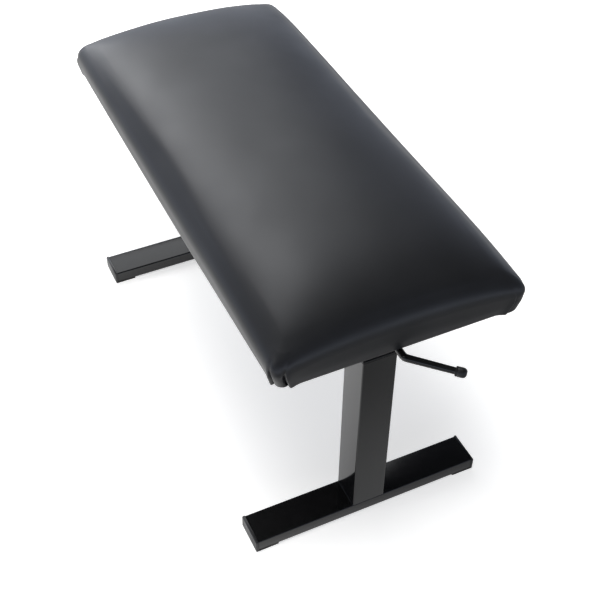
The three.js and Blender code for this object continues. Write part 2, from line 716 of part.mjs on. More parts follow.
// A bent rod's centre line: it passes through its given stops, evenly in its parameter
class RodLine extends THREE.Curve {
  constructor(stops) {
    super();
    this.stops = stops;
  }

  getPoint(share) {
    const place = Math.min(Math.max(share, 0), 1) * (this.stops.length - 1);
    const first = Math.min(Math.floor(place), this.stops.length - 2);
    return this.stops[first].clone().lerp(this.stops[first + 1], place - first);
  }

  getPointAt(share) {
    return this.getPoint(share);
  }

  getTangentAt(share) {
    return this.getTangent(share);
  }
}

function addLever() {
  const lever = new THREE.Group();
  lever.position.z = leverHeight;
  bench.add(lever);
  const bendReach = leverBendRadius * Math.tan(leverAngle / 2);
  const stops = [new THREE.Vector3(-leverFarEnd, 0, 0)];
  const bendSteps = 4;
  for (let step = 0; step <= bendSteps; step += 1) {
    const angle = leverAngle * (step / bendSteps);
    stops.push(new THREE.Vector3(
      leverBendX - bendReach + leverBendRadius * Math.sin(angle),
      leverBendRadius * (1 - Math.cos(angle)),
      0
    ));
  }
  const outward = new THREE.Vector3(Math.cos(leverAngle), Math.sin(leverAngle), 0);
  const tip = new THREE.Vector3(leverTipX, leverTipY, 0);
  const gripStart = tip.clone().addScaledVector(outward, -gripLength);
  stops.push(gripStart.clone().addScaledVector(outward, gripSocket - seatGap));
  const section = new THREE.Shape().absarc(0, 0, leverDiameter / 2, 0, 2 * Math.PI);
  const rod = new THREE.ExtrudeGeometry(section, {
    steps: stops.length - 1, extrudePath: new RodLine(stops), curveSegments: roundSides
  });
  const cams = [legX, -legX].map((x) => camLobe().translate(x, 0, 0));
  addPiece(lever, 'lever_rod', join(rod, ...cams), blackPaint);

  const grip = turned([
    [0, gripSocket],
    [leverDiameter / 2 + seatGap, gripSocket],
    [leverDiameter / 2 + seatGap, 0],
    [gripDiameter / 2, 0],
    [gripDiameter / 2, gripLength - gripRound],
    [gripDiameter / 2 - gripRound / 3, gripLength - gripRound / 3],
    [gripDiameter / 2 - gripRound, gripLength],
    [0, gripLength]
  ]).rotateY(Math.PI / 2).rotateZ(leverAngle);
  addPiece(lever, 'lever_grip', grip, blackPlastic, gripStart.x, gripStart.y, 0);

  for (const [place, x] of Object.entries(clipPlaces)) {
    // The outer clips press on the cover's hem, the middle one on the dust cover
    const clipTop = (x === 0 ? webTop : seatRim) - leverHeight;
    const body = join(
      boxBetween([-clipLength / 2, -clipWidth / 2, clipTop - clipFootThickness],
        [clipLength / 2, clipWidth / 2, clipTop]),
      boxBetween([-clipLength / 2, -clipBodyWidth / 2, -clipReach],
        [clipLength / 2, clipBodyWidth / 2, clipTop])
    );
    const bore = new THREE.CylinderGeometry(leverDiameter / 2 + seatGap, leverDiameter / 2 + seatGap,
      clipLength + 2 * overrun, roundSides).rotateZ(Math.PI / 2);
    const holes = [1, -1].map((side) => (
      roundBar(clipScrewDiameter + 2 * seatGap, clipTop - clipFootThickness - overrun, clipTop + overrun)
        .translate(0, side * clipScrewY, 0)
    ));
    addPiece(lever, `lever_clip_${place}`, cut(body, bore, ...holes), blackPlastic, x, 0, 0);
  }
}

function addPushRod() {
  const pushBottom = pivotFar + pinRise + seatGap;
  const rod = turned([
    [0, pushBottom],
    [pushDiameter / 2, pushBottom],
    [pushDiameter / 2, pinTop - pushDiameter / 2 - pushHeadThickness],
    [pushHeadDiameter / 2, pinTop - pushDiameter / 2 - pushHeadThickness],
    [pushHeadDiameter / 2, pinTop - pushDiameter / 2],
    ...domePoints(pushDiameter / 2, pinTop)
  ]);
  addPiece(bench, 'far_push_rod', rod, zincSteel, -legX, 0, 0);
}

addSeat();
addLeg('near', -1, pivotNear);
addLeg('far', 1, pivotFar);
addLever();
addPushRod();

// The lever reaches past the seat's near end, so the bench shifts to stand in the middle of its length.
const extent = new THREE.Box3().setFromObject(bench, true);
bench.position.x = -(extent.min.x + extent.max.x) / 2;

export default bench;
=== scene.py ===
import math
import random

import bmesh
import bpy
import numpy as np
from mathutils import Matrix, Vector, noise


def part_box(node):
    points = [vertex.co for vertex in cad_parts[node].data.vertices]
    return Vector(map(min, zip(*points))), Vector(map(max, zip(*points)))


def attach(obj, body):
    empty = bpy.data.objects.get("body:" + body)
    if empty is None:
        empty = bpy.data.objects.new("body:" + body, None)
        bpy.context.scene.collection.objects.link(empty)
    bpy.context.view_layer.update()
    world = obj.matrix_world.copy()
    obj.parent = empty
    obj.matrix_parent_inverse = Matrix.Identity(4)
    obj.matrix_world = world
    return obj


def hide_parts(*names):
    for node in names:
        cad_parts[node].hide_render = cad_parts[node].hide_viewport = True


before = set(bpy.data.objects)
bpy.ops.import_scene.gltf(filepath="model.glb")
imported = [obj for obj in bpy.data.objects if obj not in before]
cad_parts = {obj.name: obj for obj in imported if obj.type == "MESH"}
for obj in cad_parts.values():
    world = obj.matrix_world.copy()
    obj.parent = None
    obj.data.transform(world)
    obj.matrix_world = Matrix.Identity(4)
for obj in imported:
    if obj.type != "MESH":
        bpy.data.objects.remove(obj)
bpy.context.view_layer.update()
random.seed(7)
mm = 0.001


def middle(node):
    low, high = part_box(node)
    return (low + high) / 2


def halfSize(node):
    low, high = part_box(node)
    return (high.x - low.x) / 2, (high.y - low.y) / 2, (high.z - low.z) / 2


def newObject(name, data):
    made = bpy.data.objects.new(name, data)
    bpy.context.scene.collection.objects.link(made)
    return made


seatMid = middle("seat_cover")
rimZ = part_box("seat_cover")[0].z
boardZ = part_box("seat_board")[0].z
ends = ("near", "far")
hands = {"left": -1, "right": 1}  # sides of the bench along Y
legX = {end: middle(f"{end}_post").x for end in ends}
pivotZ = {end: middle(f"{end}_pivot_bolt_left").z for end in ends}


# Node groups that several materials share

def newGroup(name, inputs, outputs):
    group = bpy.data.node_groups.new(name, "ShaderNodeTree")
    for label, kind, value in inputs:
        group.interface.new_socket(name=label, in_out="INPUT", socket_type=kind).default_value = value
    for label, kind in outputs:
        group.interface.new_socket(name=label, in_out="OUTPUT", socket_type=kind)
    return group, group.nodes.new("NodeGroupInput"), group.nodes.new("NodeGroupOutput")


def addNode(tree, kind, links=None, **settings):
    node = tree.nodes.new(kind)
    for key, value in settings.items():
        setattr(node, key, value)
    for socket, value in (links or {}).items():
        target = node.inputs[socket]
        if isinstance(value, bpy.types.NodeSocket):
            tree.links.new(value, target)
        else:
            target.default_value = value
    return node


def mathNode(tree, operation, first, second, clamped=False):
    node = addNode(tree, "ShaderNodeMath", {0: first, 1: second}, operation=operation, use_clamp=clamped)
    return node.outputs[0]


def objectPlace(tree):
    return addNode(tree, "ShaderNodeTexCoord").outputs["Object"]


def noiseNode(tree, place, scale, detail):
    return addNode(tree, "ShaderNodeTexNoise", {"Vector": place, "Scale": scale, "Detail": detail})


def makeGrainGroup():
    # pebbled cells with creases between them, for leather and moulded plastic
    group, given, out = newGroup(
        "pebbleGrain",
        [("Cell Size", "NodeSocketFloat", 0.001), ("Softness", "NodeSocketFloat", 0.5)],
        [("Height", "NodeSocketFloat")],
    )
    place = objectPlace(group)
    scale = mathNode(group, "DIVIDE", 1.0, given.outputs["Cell Size"])
    warp = noiseNode(group, place, scale, 2.0)
    bent = addNode(group, "ShaderNodeMix", {0: 0.0004, 4: place, 5: warp.outputs["Color"]},
                   data_type="VECTOR")  # a slight warp, so that the cells aren't even
    cells = addNode(group, "ShaderNodeTexVoronoi", {"Vector": bent.outputs[1], "Scale": scale},
                    feature="SMOOTH_F1")
    crease = mathNode(group, "POWER", cells.outputs["Distance"], given.outputs["Softness"])
    group.links.new(mathNode(group, "SUBTRACT", 1.0, crease), out.inputs["Height"])
    return group


def makePatchGroup():
    # slow and fine unevenness, put out as a value between Low and High
    group, given, out = newGroup(
        "unevenness",
        [("Scale", "NodeSocketFloat", 20.0), ("Low", "NodeSocketFloat", 0.3),
         ("High", "NodeSocketFloat", 0.5)],
        [("Value", "NodeSocketFloat")],
    )
    patches = noiseNode(group, objectPlace(group), given.outputs["Scale"], 5.0)
    spread = addNode(group, "ShaderNodeMapRange", {
        "Value": patches.outputs["Fac"], "From Min": 0.3, "From Max": 0.7,
        "To Min": given.outputs["Low"], "To Max": given.outputs["High"],
    })
    group.links.new(spread.outputs["Result"], out.inputs["Value"])
    return group


def makeWearGroup():
    # a base colour that turns to a worn colour along sharp edges
    group, given, out = newGroup(
        "edgeWear",
        [("Base", "NodeSocketColor", (0.02, 0.02, 0.02, 1)), ("Worn", "NodeSocketColor", (0.1, 0.1, 0.1, 1)),
         ("Amount", "NodeSocketFloat", 0.5)],
        [("Color", "NodeSocketColor")],
    )
    edge = addNode(group, "ShaderNodeNewGeometry").outputs["Pointiness"]
    sharp = addNode(group, "ShaderNodeMapRange", {"Value": edge, "From Min": 0.52, "From Max": 0.62})
    chips = noiseNode(group, objectPlace(group), 160.0, 4.0)
    broken = mathNode(group, "MULTIPLY", sharp.outputs["Result"], chips.outputs["Fac"], True)
    mask = mathNode(group, "MULTIPLY", broken, given.outputs["Amount"], True)
    mixed = addNode(group, "ShaderNodeMix", {0: mask, 6: given.outputs["Base"], 7: given.outputs["Worn"]},
                    data_type="RGBA")
    group.links.new(mixed.outputs[2], out.inputs["Color"])
    return group


grainGroup = makeGrainGroup()
patchGroup = makePatchGroup()
wearGroup = makeWearGroup()


def groupNode(tree, group, **values):
    node = tree.nodes.new("ShaderNodeGroup")
    node.node_tree = group
    for label, value in values.items():
        node.inputs[label.replace("_", " ")].default_value = value
    return node


def newMaterial(name, **constants):
    material = bpy.data.materials.new(name)
    material.use_nodes = True
    tree = material.node_tree
    shader = tree.nodes["Principled BSDF"]
    for label, value in constants.items():
        shader.inputs[label.replace("_", " ")].default_value = value
    return material, tree, shader


def addBump(tree, shader, height, strength, distance):
    bump = addNode(tree, "ShaderNodeBump", {"Height": height, "Strength": strength, "Distance": distance})
    tree.links.new(bump.outputs["Normal"], shader.inputs["Normal"])


def colourPatches(tree, shader, first, second, scale, detail=6.0):
    patches = noiseNode(tree, objectPlace(tree), scale, detail)
    ramp = addNode(tree, "ShaderNodeValToRGB", {0: patches.outputs["Fac"]})
    for stop, position, colour in zip(ramp.color_ramp.elements, (0.35, 0.65), (first, second)):
        stop.position, stop.color = position, (*colour, 1)
    tree.links.new(ramp.outputs["Color"], shader.inputs["Base Color"])
    return patches


def roughPatches(tree, shader, scale, low, high):
    patches = groupNode(tree, patchGroup, Scale=scale, Low=low, High=high)
    tree.links.new(patches.outputs["Value"], shader.inputs["Roughness"])


def wornColour(tree, shader, base, worn, amount):
    wear = groupNode(tree, wearGroup, Base=(*base, 1), Worn=(*worn, 1), Amount=amount)
    tree.links.new(wear.outputs["Color"], shader.inputs["Base Color"])


leatherLook = {
    "dark": (0.0105, 0.0107, 0.0115), "light": (0.0135, 0.0138, 0.0150), "patchScale": 9.0,
    "sheen": 0.03, "sheenRoughness": 0.4, "roughness": (0.40, 0.47), "roughScale": 14.0,
    "cell": 0.0011, "softness": 0.7, "bump": 0.05, "bumpDepth": 0.0003,
}
paintLook = {
    "base": (0.0030, 0.0030, 0.0031), "worn": (0.09, 0.09, 0.09), "wear": 0.25,
    "roughness": (0.11, 0.15), "roughScale": 90.0, "peelScale": 900.0, "bump": 0.08, "bumpDepth": 0.0002,
}
plasticLook = {
    "scuffs": 3, "wear": 0.5, "roughScale": 60.0, "softness": 1.0, "bump": 0.12, "bumpDepth": 0.0002,
}
metalLook = {"patchScale": 55.0, "roughScale": 140.0, "drawn": (1200.0, 1200.0, 30.0), "bumpDepth": 0.0001}
plywoodLook = {
    "dark": (0.30, 0.18, 0.09), "light": (0.62, 0.44, 0.26), "drawn": (4.0, 60.0, 500.0),
    "roughness": 0.75, "bump": 0.3, "bumpDepth": 0.0003,
}
clothLook = {
    "dark": (0.008, 0.008, 0.009), "light": (0.020, 0.020, 0.021), "fibreScale": 700.0, "pointScale": 2600.0,
    "pointSize": 0.25, "slant": 45, "roughness": 0.93, "sheen": 0.15, "bump": 0.5, "bumpDepth": 0.0003,
}


def makeLeather():
    look = leatherLook
    material, tree, shader = newMaterial("black leather", Specular_IOR_Level=0.5, Sheen_Weight=look["sheen"],
                                         Sheen_Roughness=look["sheenRoughness"])
    colourPatches(tree, shader, look["dark"], look["light"], look["patchScale"])
    roughPatches(tree, shader, look["roughScale"], *look["roughness"])
    grain = groupNode(tree, grainGroup, Cell_Size=look["cell"], Softness=look["softness"])
    addBump(tree, shader, grain.outputs["Height"], look["bump"], look["bumpDepth"])
    return material


def makePaint():
    look = paintLook
    material, tree, shader = newMaterial("powder coat", Specular_IOR_Level=0.5)
    wornColour(tree, shader, look["base"], look["worn"], look["wear"])
    roughPatches(tree, shader, look["roughScale"], *look["roughness"])
    peel = noiseNode(tree, objectPlace(tree), look["peelScale"], 2.0)
    addBump(tree, shader, peel.outputs["Fac"], look["bump"], look["bumpDepth"])
    return material


def makePlastic(name, base, roughness, cell):
    look = plasticLook
    material, tree, shader = newMaterial(name, Specular_IOR_Level=0.45)
    wornColour(tree, shader, base, [look["scuffs"] * level for level in base], look["wear"])
    roughPatches(tree, shader, look["roughScale"], *roughness)
    grain = groupNode(tree, grainGroup, Cell_Size=cell, Softness=look["softness"])
    addBump(tree, shader, grain.outputs["Height"], look["bump"], look["bumpDepth"])
    return material


def makeMetal(name, first, second, roughness, scratch):
    look = metalLook
    material, tree, shader = newMaterial(name, Metallic=1.0)
    colourPatches(tree, shader, first, second, look["patchScale"])
    roughPatches(tree, shader, look["roughScale"], *roughness)
    drawn = addNode(tree, "ShaderNodeMapping", {"Vector": objectPlace(tree), "Scale": look["drawn"]})
    scratches = noiseNode(tree, drawn.outputs[0], 1.0, 3.0)
    addBump(tree, shader, scratches.outputs["Fac"], scratch, look["bumpDepth"])
    return material


def makePlywood():
    look = plywoodLook
    material, tree, shader = newMaterial("plywood", Roughness=look["roughness"])
    drawn = addNode(tree, "ShaderNodeMapping", {"Vector": objectPlace(tree), "Scale": look["drawn"]})
    fibres = noiseNode(tree, drawn.outputs[0], 1.0, 8.0)
    ramp = addNode(tree, "ShaderNodeValToRGB", {0: fibres.outputs["Fac"]})
    for stop, colour in zip(ramp.color_ramp.elements, ("dark", "light")):
        stop.color = (*look[colour], 1)
    tree.links.new(ramp.outputs["Color"], shader.inputs["Base Color"])
    addBump(tree, shader, fibres.outputs["Fac"], look["bump"], look["bumpDepth"])
    return material


def makeCloth():
    # thin bonded lining: pressed points in a slanted grid over tangled fibres
    look = clothLook
    material, tree, shader = newMaterial("lining cloth", Roughness=look["roughness"],
                                         Sheen_Weight=look["sheen"])
    patches = colourPatches(tree, shader, look["dark"], look["light"], look["fibreScale"], 8.0)
    slanted = addNode(tree, "ShaderNodeMapping", {
        "Vector": objectPlace(tree), "Rotation": (0, 0, math.radians(look["slant"])),
        "Scale": (look["pointScale"], look["pointScale"], 0.0),
    })
    points = addNode(tree, "ShaderNodeTexVoronoi", {
        "Vector": slanted.outputs[0], "Scale": look["pointSize"], "Randomness": 0.1,
    })
    height = mathNode(tree, "ADD", points.outputs["Distance"], patches.outputs["Fac"])
    addBump(tree, shader, height, look["bump"], look["bumpDepth"])
    return material


looks = {  # by the name of the slot
    "black_leather": makeLeather(),
    "black_paint": makePaint(),
    "black_plastic": makePlastic("black plastic", (0.010, 0.010, 0.0105), (0.30, 0.40), 0.0006),
    "nylon": makePlastic("natural nylon", (0.55, 0.52, 0.44), (0.45, 0.55), 0.0008),
    "zinc_steel": makeMetal("zinc plate", (0.42, 0.43, 0.44), (0.56, 0.57, 0.58), (0.28, 0.40), 0.10),
    "polished_rod": makeMetal("polished steel", (0.62, 0.63, 0.64), (0.68, 0.69, 0.70), (0.08, 0.14), 0.04),
    "plywood": makePlywood(),
    "lining_cloth": makeCloth(),
}
print("stage: materials made")


# Mesh helpers

def limited(value):
    return min(1.0, max(0.0, value))


def circle(x, y, radius, steps=28):
    turns = [2 * math.pi * step / steps for step in range(steps)]
    return [(x + radius * math.cos(turn), y + radius * math.sin(turn)) for turn in turns]


def raised(outline, z):
    return [(x, y, z) for x, y in outline]


def ringAt(radius, z, steps):
    return raised(circle(0, 0, radius, steps), z)


def dome(radius, top, edge=0.0):
    # profile of a rounded tip, without its last point on the axis
    turns = [step * math.pi / 12 for step in range(6)]
    return [(edge + radius * math.cos(turn), top - radius + radius * math.sin(turn)) for turn in turns]


def skin(bm, low, high):
    # joins two rings of vertices; a ring of one vertex is a tip
    sides = max(len(low), len(high))
    for side in range(sides):
        following = (side + 1) % sides
        if len(low) == 1:
            bm.faces.new((low[0], high[following], high[side]))
        elif len(high) == 1:
            bm.faces.new((low[side], low[following], high[0]))
        else:
            bm.faces.new((low[side], low[following], high[following], high[side]))


def stackRings(rings, closed=False):
    # skins rings of equal length; closed joins the last ring to the first, otherwise both ends are filled
    bm = bmesh.new()
    made = [[bm.verts.new(point) for point in ring] for ring in rings]
    for low, high in zip(made, made[1:] + made[:1] if closed else made[1:]):
        skin(bm, low, high)
    if not closed:
        bm.faces.new(list(reversed(made[0])))
        bm.faces.new(made[-1])
    bmesh.ops.recalc_face_normals(bm, faces=bm.faces)
    return bm


def lathe(profile, sides=40):
    # turns (radius, height) points about Z; points on the axis close the ends
    bm = bmesh.new()
    rows = []
    for radius, height in profile:
        ring = ringAt(radius, height, sides) if radius > 1e-7 else [(0, 0, height)]
        rows.append([bm.verts.new(point) for point in ring])
    for low, high in zip(rows, rows[1:]):
        skin(bm, low, high)
    bmesh.ops.recalc_face_normals(bm, faces=bm.faces)
    return bm


def latheRing(profile, sides=40):
    return stackRings([ringAt(radius, height, sides) for radius, height in profile], closed=True)


def plate(outline, holes, thickness, edge):
    # a flat plate with rounded edges, from its outline and holes in X and Y, centred on z = 0
    curve = bpy.data.curves.new("plate", "CURVE")
    curve.dimensions = "2D"
    curve.fill_mode = "BOTH"
    curve.extrude = thickness / 2 - edge
    curve.bevel_depth = edge
    curve.bevel_resolution = 2
    curve.offset = -edge
    for points in [outline, *holes]:
        spline = curve.splines.new("POLY")
        spline.points.add(len(points) - 1)
        for point, (x, y) in zip(spline.points, points):
            point.co = (x, y, 0, 1)
        spline.use_cyclic_u = True
    holder = newObject("plate", curve)
    mesh = bpy.data.meshes.new_from_object(holder.evaluated_get(bpy.context.evaluated_depsgraph_get()))
    bm = bmesh.new()
    bm.from_mesh(mesh)
    bmesh.ops.remove_doubles(bm, verts=bm.verts, dist=1e-6)
    bmesh.ops.recalc_face_normals(bm, faces=bm.faces)
    bpy.data.objects.remove(holder)
    bpy.data.curves.remove(curve)
    bpy.data.meshes.remove(mesh)
    return bm


def merged(*parts):
    whole = bmesh.new()
    for part in parts:
        mesh = bpy.data.meshes.new("part")
        part.to_mesh(mesh)
        part.free()
        whole.from_mesh(mesh)
        bpy.data.meshes.remove(mesh)
    return whole


def moved(bm, x=0.0, y=0.0, z=0.0, turn=None):
    if turn is not None:
        bm.transform(turn)
    bm.transform(Matrix.Translation((x, y, z)))
    return bm


def finishPiece(name, bm, body, slot, replaced=(), sharp=38):
    mesh = bpy.data.meshes.new(name)
    bm.to_mesh(mesh)
    bm.free()
    mesh.shade_smooth()
    mesh.set_sharp_from_angle(angle=math.radians(sharp))
    mesh.materials.append(looks[slot])
    piece = newObject(name, mesh)
    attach(piece, body)
    if replaced:
        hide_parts(*replaced)
    return piece


def roundedRectangle(halfX, halfY, radius, steps=6):
    points = []
    for quarter, (signX, signY) in enumerate([(1, 1), (-1, 1), (-1, -1), (1, -1)]):
        for step in range(steps + 1):
            turn = (quarter + step / steps) * math.pi / 2
            points.append((signX * (halfX - radius) + radius * math.cos(turn),
                           signY * (halfY - radius) + radius * math.sin(turn)))
    return points


def turnAbout(axis, degrees):
    return Matrix.Rotation(math.radians(degrees), 4, axis)


alongBench = Matrix(((0, 0, 1, 0), (1, 0, 0, 0), (0, 1, 0, 0), (0, 0, 0, 1)))  # a drawing's z turned to X


# Cushion

cushion = {
    "halfLength": 0.3755, "halfWidth": 0.165,  # of the rim, where the cover turns under the board
    "corner": 0.018, "band": 0.036, "bulge": (0.0062, 0.0080), "draw": (0.004, 0.0002), "rise": 0.053,
    "crownPower": (6, 2), "drawPower": 8,  # flat along the seat and round across it; draw only near the sides
    "hem": 0.028, "hemEnds": 0.0295, "fold": 0.0016,  # the hem's width, and the rounding at the rim
    "fine": 0.0015, "fineReach": 0.018, "growth": 1.4, "coarse": 0.011,  # column spacing from the corners
    "hemRings": (0.0274, 0.021, 0.014, 0.008, 0.004), "bandRings": 15,
    "shoulder": (0.0008, 0.0026, 0.0054, 0.0092, 0.0140),
    "roundDrop": 0.0105, "roundReach": 0.024, "roundSpread": 0.07,  # the corners' softer upper edge
    "limit": 0.0026, "frames": 20, "settle": 60, "held": 0.003,  # how far and how long the cloth may move
    "startWider": (0.0044, 0.0105), "startLower": 0.0024,  # the cloth draws the sides in and lifts the crown
    "lowerReach": 0.03, "waviness": 0.0005, "waveScale": (9, 14, 9), "waveStart": 0.002, "waveReach": 0.03,
}
# hand-stretched corners differ: how full each one is, and how far its upper edge is rounded down
cornerFullness = {(1, 1): 1.35, (1, -1): 0.9, (-1, -1): 0.5, (-1, 1): 0.75}
cornerSoftness = {(1, 1): 0.8, (1, -1): 1.0, (-1, -1): 1.1, (-1, 1): 0.35}
# how deep the tongue is tucked in, and how much leather gathers at the lower corner
cornerTuck = {(1, 1): 0.0, (1, -1): 1.0, (-1, -1): 1.0, (-1, 1): 0.8}
cornerLobe = {(1, 1): 0.0055, (1, -1): 0.0, (-1, -1): 0.0, (-1, 1): 0.0}
# across one pleat: distance from the slit, then the shift along the side and outwards, in mm
pleatAcross = [-12, -9, -6, -4.5, -3, -1.8, -0.6, 0.1, 0.9, 2.0, 4.5, 8, 14]
pleatAlong = [0, 0, 0, 0, 0.2, 0.3, 0, -0.4, -0.9, -0.8, -0.4, 0, 0]
pleatOut = [0, -0.2, -1.1, -2.2, -4.0, -6.5, -7.0, -6.6, 0.8, 1.6, 1.2, 0.4, 0]
pleat = {
    "slit": (0.0085, 0.0135), "top": 0.033, "fade": 0.55,  # distance from the corner: long side, end side
    "reach": 0.03, "leather": 0.0045, "shallow": 0.4, "shallowHeight": 0.006,  # flatter tongue at the rim
    "lobeWidth": 0.013, "lobeHeight": 0.022, "droop": 0.0030, "droopHeight": 0.008, "panel": (2, 12),
    "endDroop": 0.0016, "endReach": 0.018,  # the ends' lower edge hangs a little
    "pinch": 0.0006, "pinchWidth": 3.2, "pinchLow": (0.016, 0.012), "pinchHigh": (0.058, 0.022),
}


def columnDistances(total):
    # distances from a corner's middle to the side's middle, close together near the corner
    steps = [cushion["fine"]] * round(cushion["fineReach"] / cushion["fine"])
    while sum(steps) + steps[-1] * cushion["growth"] < total and steps[-1] < cushion["coarse"]:
        steps.append(min(steps[-1] * cushion["growth"], cushion["coarse"]))
    left = total - sum(steps)
    count = max(1, round(left / cushion["coarse"]))
    return np.concatenate([[0], np.cumsum(steps + [left / count] * count)])


def outlinePoint(distance, alongLength):
    # a point of the rim in the quarter x > 0, y > 0, that far from the corner's middle
    radius = cushion["corner"]
    bend = radius * math.pi / 4
    centre = np.array([cushion["halfLength"] - radius, cushion["halfWidth"] - radius])
    if distance <= bend:
        turn = math.pi / 4 + (distance / radius if alongLength else -distance / radius)
        return centre + radius * np.array([math.cos(turn), math.sin(turn)])
    rest = distance - bend
    return centre + (np.array([-rest, radius]) if alongLength else np.array([radius, -rest]))


def rimOutline():
    # the rim once round from the corner at -X and -Y, with each point's signed distance to its corner
    longHalf = columnDistances(cushion["halfLength"] - cushion["corner"] * (1 - math.pi / 4))
    shortHalf = columnDistances(cushion["halfWidth"] - cushion["corner"] * (1 - math.pi / 4))
    points, distances = [], []
    for alongLength, start, finish in [(True, (-1, -1), (1, -1)), (False, (1, -1), (1, 1)),
                                       (True, (1, 1), (-1, 1)), (False, (-1, 1), (-1, -1))]:
        half = longHalf if alongLength else shortHalf
        side = [(d, start) for d in half] + [(d, finish) for d in half[::-1][1:]]
        for distance, signs in side[:-1]:
            points.append(outlinePoint(distance, alongLength) * np.array(signs))
            distances.append(-distance if alongLength else distance)
    return np.array(points), np.array(distances), 2 * (len(longHalf) - 1), 2 * (len(shortHalf) - 1)


def byCorner(points, values):
    right, back = points[..., 0] > 0, points[..., 1] > 0
    return np.where(right, np.where(back, values[1, 1], values[1, -1]),
                    np.where(back, values[-1, 1], values[-1, -1]))


def swollen(points, swell):
    shareX = points[..., 0] / cushion["halfLength"]
    shareY = points[..., 1] / cushion["halfWidth"]
    power = cushion["drawPower"]
    pullX = cushion["draw"][0] * (1 - shareY ** 2) * np.abs(shareX) ** power
    pullY = cushion["draw"][1] * (1 - shareX ** 2) * np.abs(shareY) ** power
    full = 1 + (byCorner(points, cornerFullness) - 1) * np.abs(np.clip(shareX * shareY, -1, 1)) ** power
    bulgeX, bulgeY = (full * bulge for bulge in cushion["bulge"])
    return np.stack([points[..., 0] + swell * (shareX * bulgeX - np.sign(shareX) * pullX),
                     points[..., 1] + swell * (shareY * bulgeY - np.sign(shareY) * pullY)], -1)


def cornerDrop(points):
    # how far the edge is rounded down: fully at the corners, hardly along the sides
    inX = cushion["halfLength"] - np.abs(points[..., 0])
    inY = cushion["halfWidth"] - np.abs(points[..., 1])
    towardsX = np.clip(1 - inX / cushion["roundReach"], 0, 1)
    towardsY = np.clip(1 - inY / cushion["roundReach"], 0, 1)
    edge = np.clip(np.hypot(towardsX, towardsY), 0, 1)
    share = np.exp(-(np.maximum(inX, inY) / cushion["roundSpread"]) ** 2)
    return byCorner(points, cornerSoftness) * cushion["roundDrop"] * share * (1 - np.sqrt(1 - edge ** 2))


def crownHeight(points):
    powerX, powerY = cushion["crownPower"]
    alongX = 1 - np.abs(points[..., 0] / cushion["halfLength"]) ** powerX
    alongY = 1 - np.abs(points[..., 1] / cushion["halfWidth"]) ** powerY
    return cushion["band"] + cushion["rise"] * np.sqrt(np.clip(alongX * alongY, 0, 1)) - cornerDrop(points)


def cushionRings(outline):
    # rings from the hem's inner edge, round the rim, up the band and over the shoulder
    half = np.array([cushion["halfLength"], cushion["halfWidth"]])

    def inset(distance):
        return outline * (1 - distance / half)

    lift = boardZ - rimZ
    hem = np.array([cushion["hemEnds"], cushion["hem"]])
    rings = [(inset(hem), lift + 0.0006), (inset(hem), 0.0003)]
    rings += [(inset(distance), 0.0) for distance in (*cushion["hemRings"], cushion["fold"])]
    rings.append((inset(cushion["fold"] * 0.3), cushion["fold"] * 0.3))
    squat = 1 - cornerDrop(outline) / (cushion["band"] - cushion["fold"])
    for height in np.linspace(cushion["fold"], cushion["band"], cushion["bandRings"]):
        lifted = cushion["fold"] + (height - cushion["fold"]) * squat
        rings.append((swollen(outline, math.sin(height / cushion["band"] * math.pi / 2)), lifted))
    for distance in cushion["shoulder"]:
        rings.append((swollen(inset(distance), 1), crownHeight(inset(distance))))
    return rings


def cushionBase():
    outline, distances, countX, countY = rimOutline()
    rings = cushionRings(outline)
    size = len(outline)
    vertices = [np.column_stack([xy, np.broadcast_to(z, size)]) for xy, z in rings]
    heights = np.concatenate([ring[:, 2] for ring in vertices])
    corner = np.tile(distances, len(rings))
    vertices = np.concatenate(vertices)
    faces = []
    for ring in range(len(rings) - 1):
        low = ring * size
        for side in range(size):
            following = (side + 1) % size
            faces.append((low + side, low + following, low + size + following, low + size + side))

    # the top is a grid whose border is the last ring
    last = (len(rings) - 1) * size
    half = np.array([cushion["halfLength"], cushion["halfWidth"]])
    border = outline * (1 - cushion["shoulder"][-1] / half)
    index = np.zeros((countX + 1, countY + 1), int)
    index[:, 0] = last + np.arange(countX + 1)
    index[-1, :] = last + countX + np.arange(countY + 1)
    index[::-1, -1] = last + countX + countY + np.arange(countX + 1)
    index[0, ::-1] = last + (2 * countX + countY + np.arange(countY + 1)) % size
    south, east = border[index[:, 0] - last], border[index[-1, :] - last]
    north, west = border[index[:, -1] - last], border[index[0, :] - last]
    u = ((south[:, 0] - south[0, 0]) / (south[-1, 0] - south[0, 0]))[:, None, None]
    v = ((west[:, 1] - west[0, 1]) / (west[-1, 1] - west[0, 1]))[None, :, None]
    flat = ((1 - v) * south[:, None] + v * north[:, None] + (1 - u) * west[None] + u * east[None]
            - (1 - u) * (1 - v) * south[0] - u * (1 - v) * south[-1]
            - (1 - u) * v * north[0] - u * v * north[-1])
    inner = flat[1:-1, 1:-1].reshape(-1, 2)
    index[1:-1, 1:-1] = len(vertices) + np.arange(len(inner)).reshape(countX - 1, countY - 1)
    top = np.column_stack([swollen(inner, 1), crownHeight(inner)])
    vertices = np.concatenate([vertices, top])
    heights = np.concatenate([heights, top[:, 2]])
    corner = np.concatenate([corner, np.full(len(inner), 1.0)])
    for i in range(countX):
        for j in range(countY):
            faces.append((index[i, j], index[i + 1, j], index[i + 1, j + 1], index[i, j + 1]))
    return vertices, faces, heights, corner


coverCloth = {
    "quality": 6, "mass": 0.4, "tension_stiffness": 30, "compression_stiffness": 30, "shear_stiffness": 15,
    "bending_stiffness": 2, "air_damping": 4, "use_pressure": True, "uniform_pressure_force": 1.6,
}


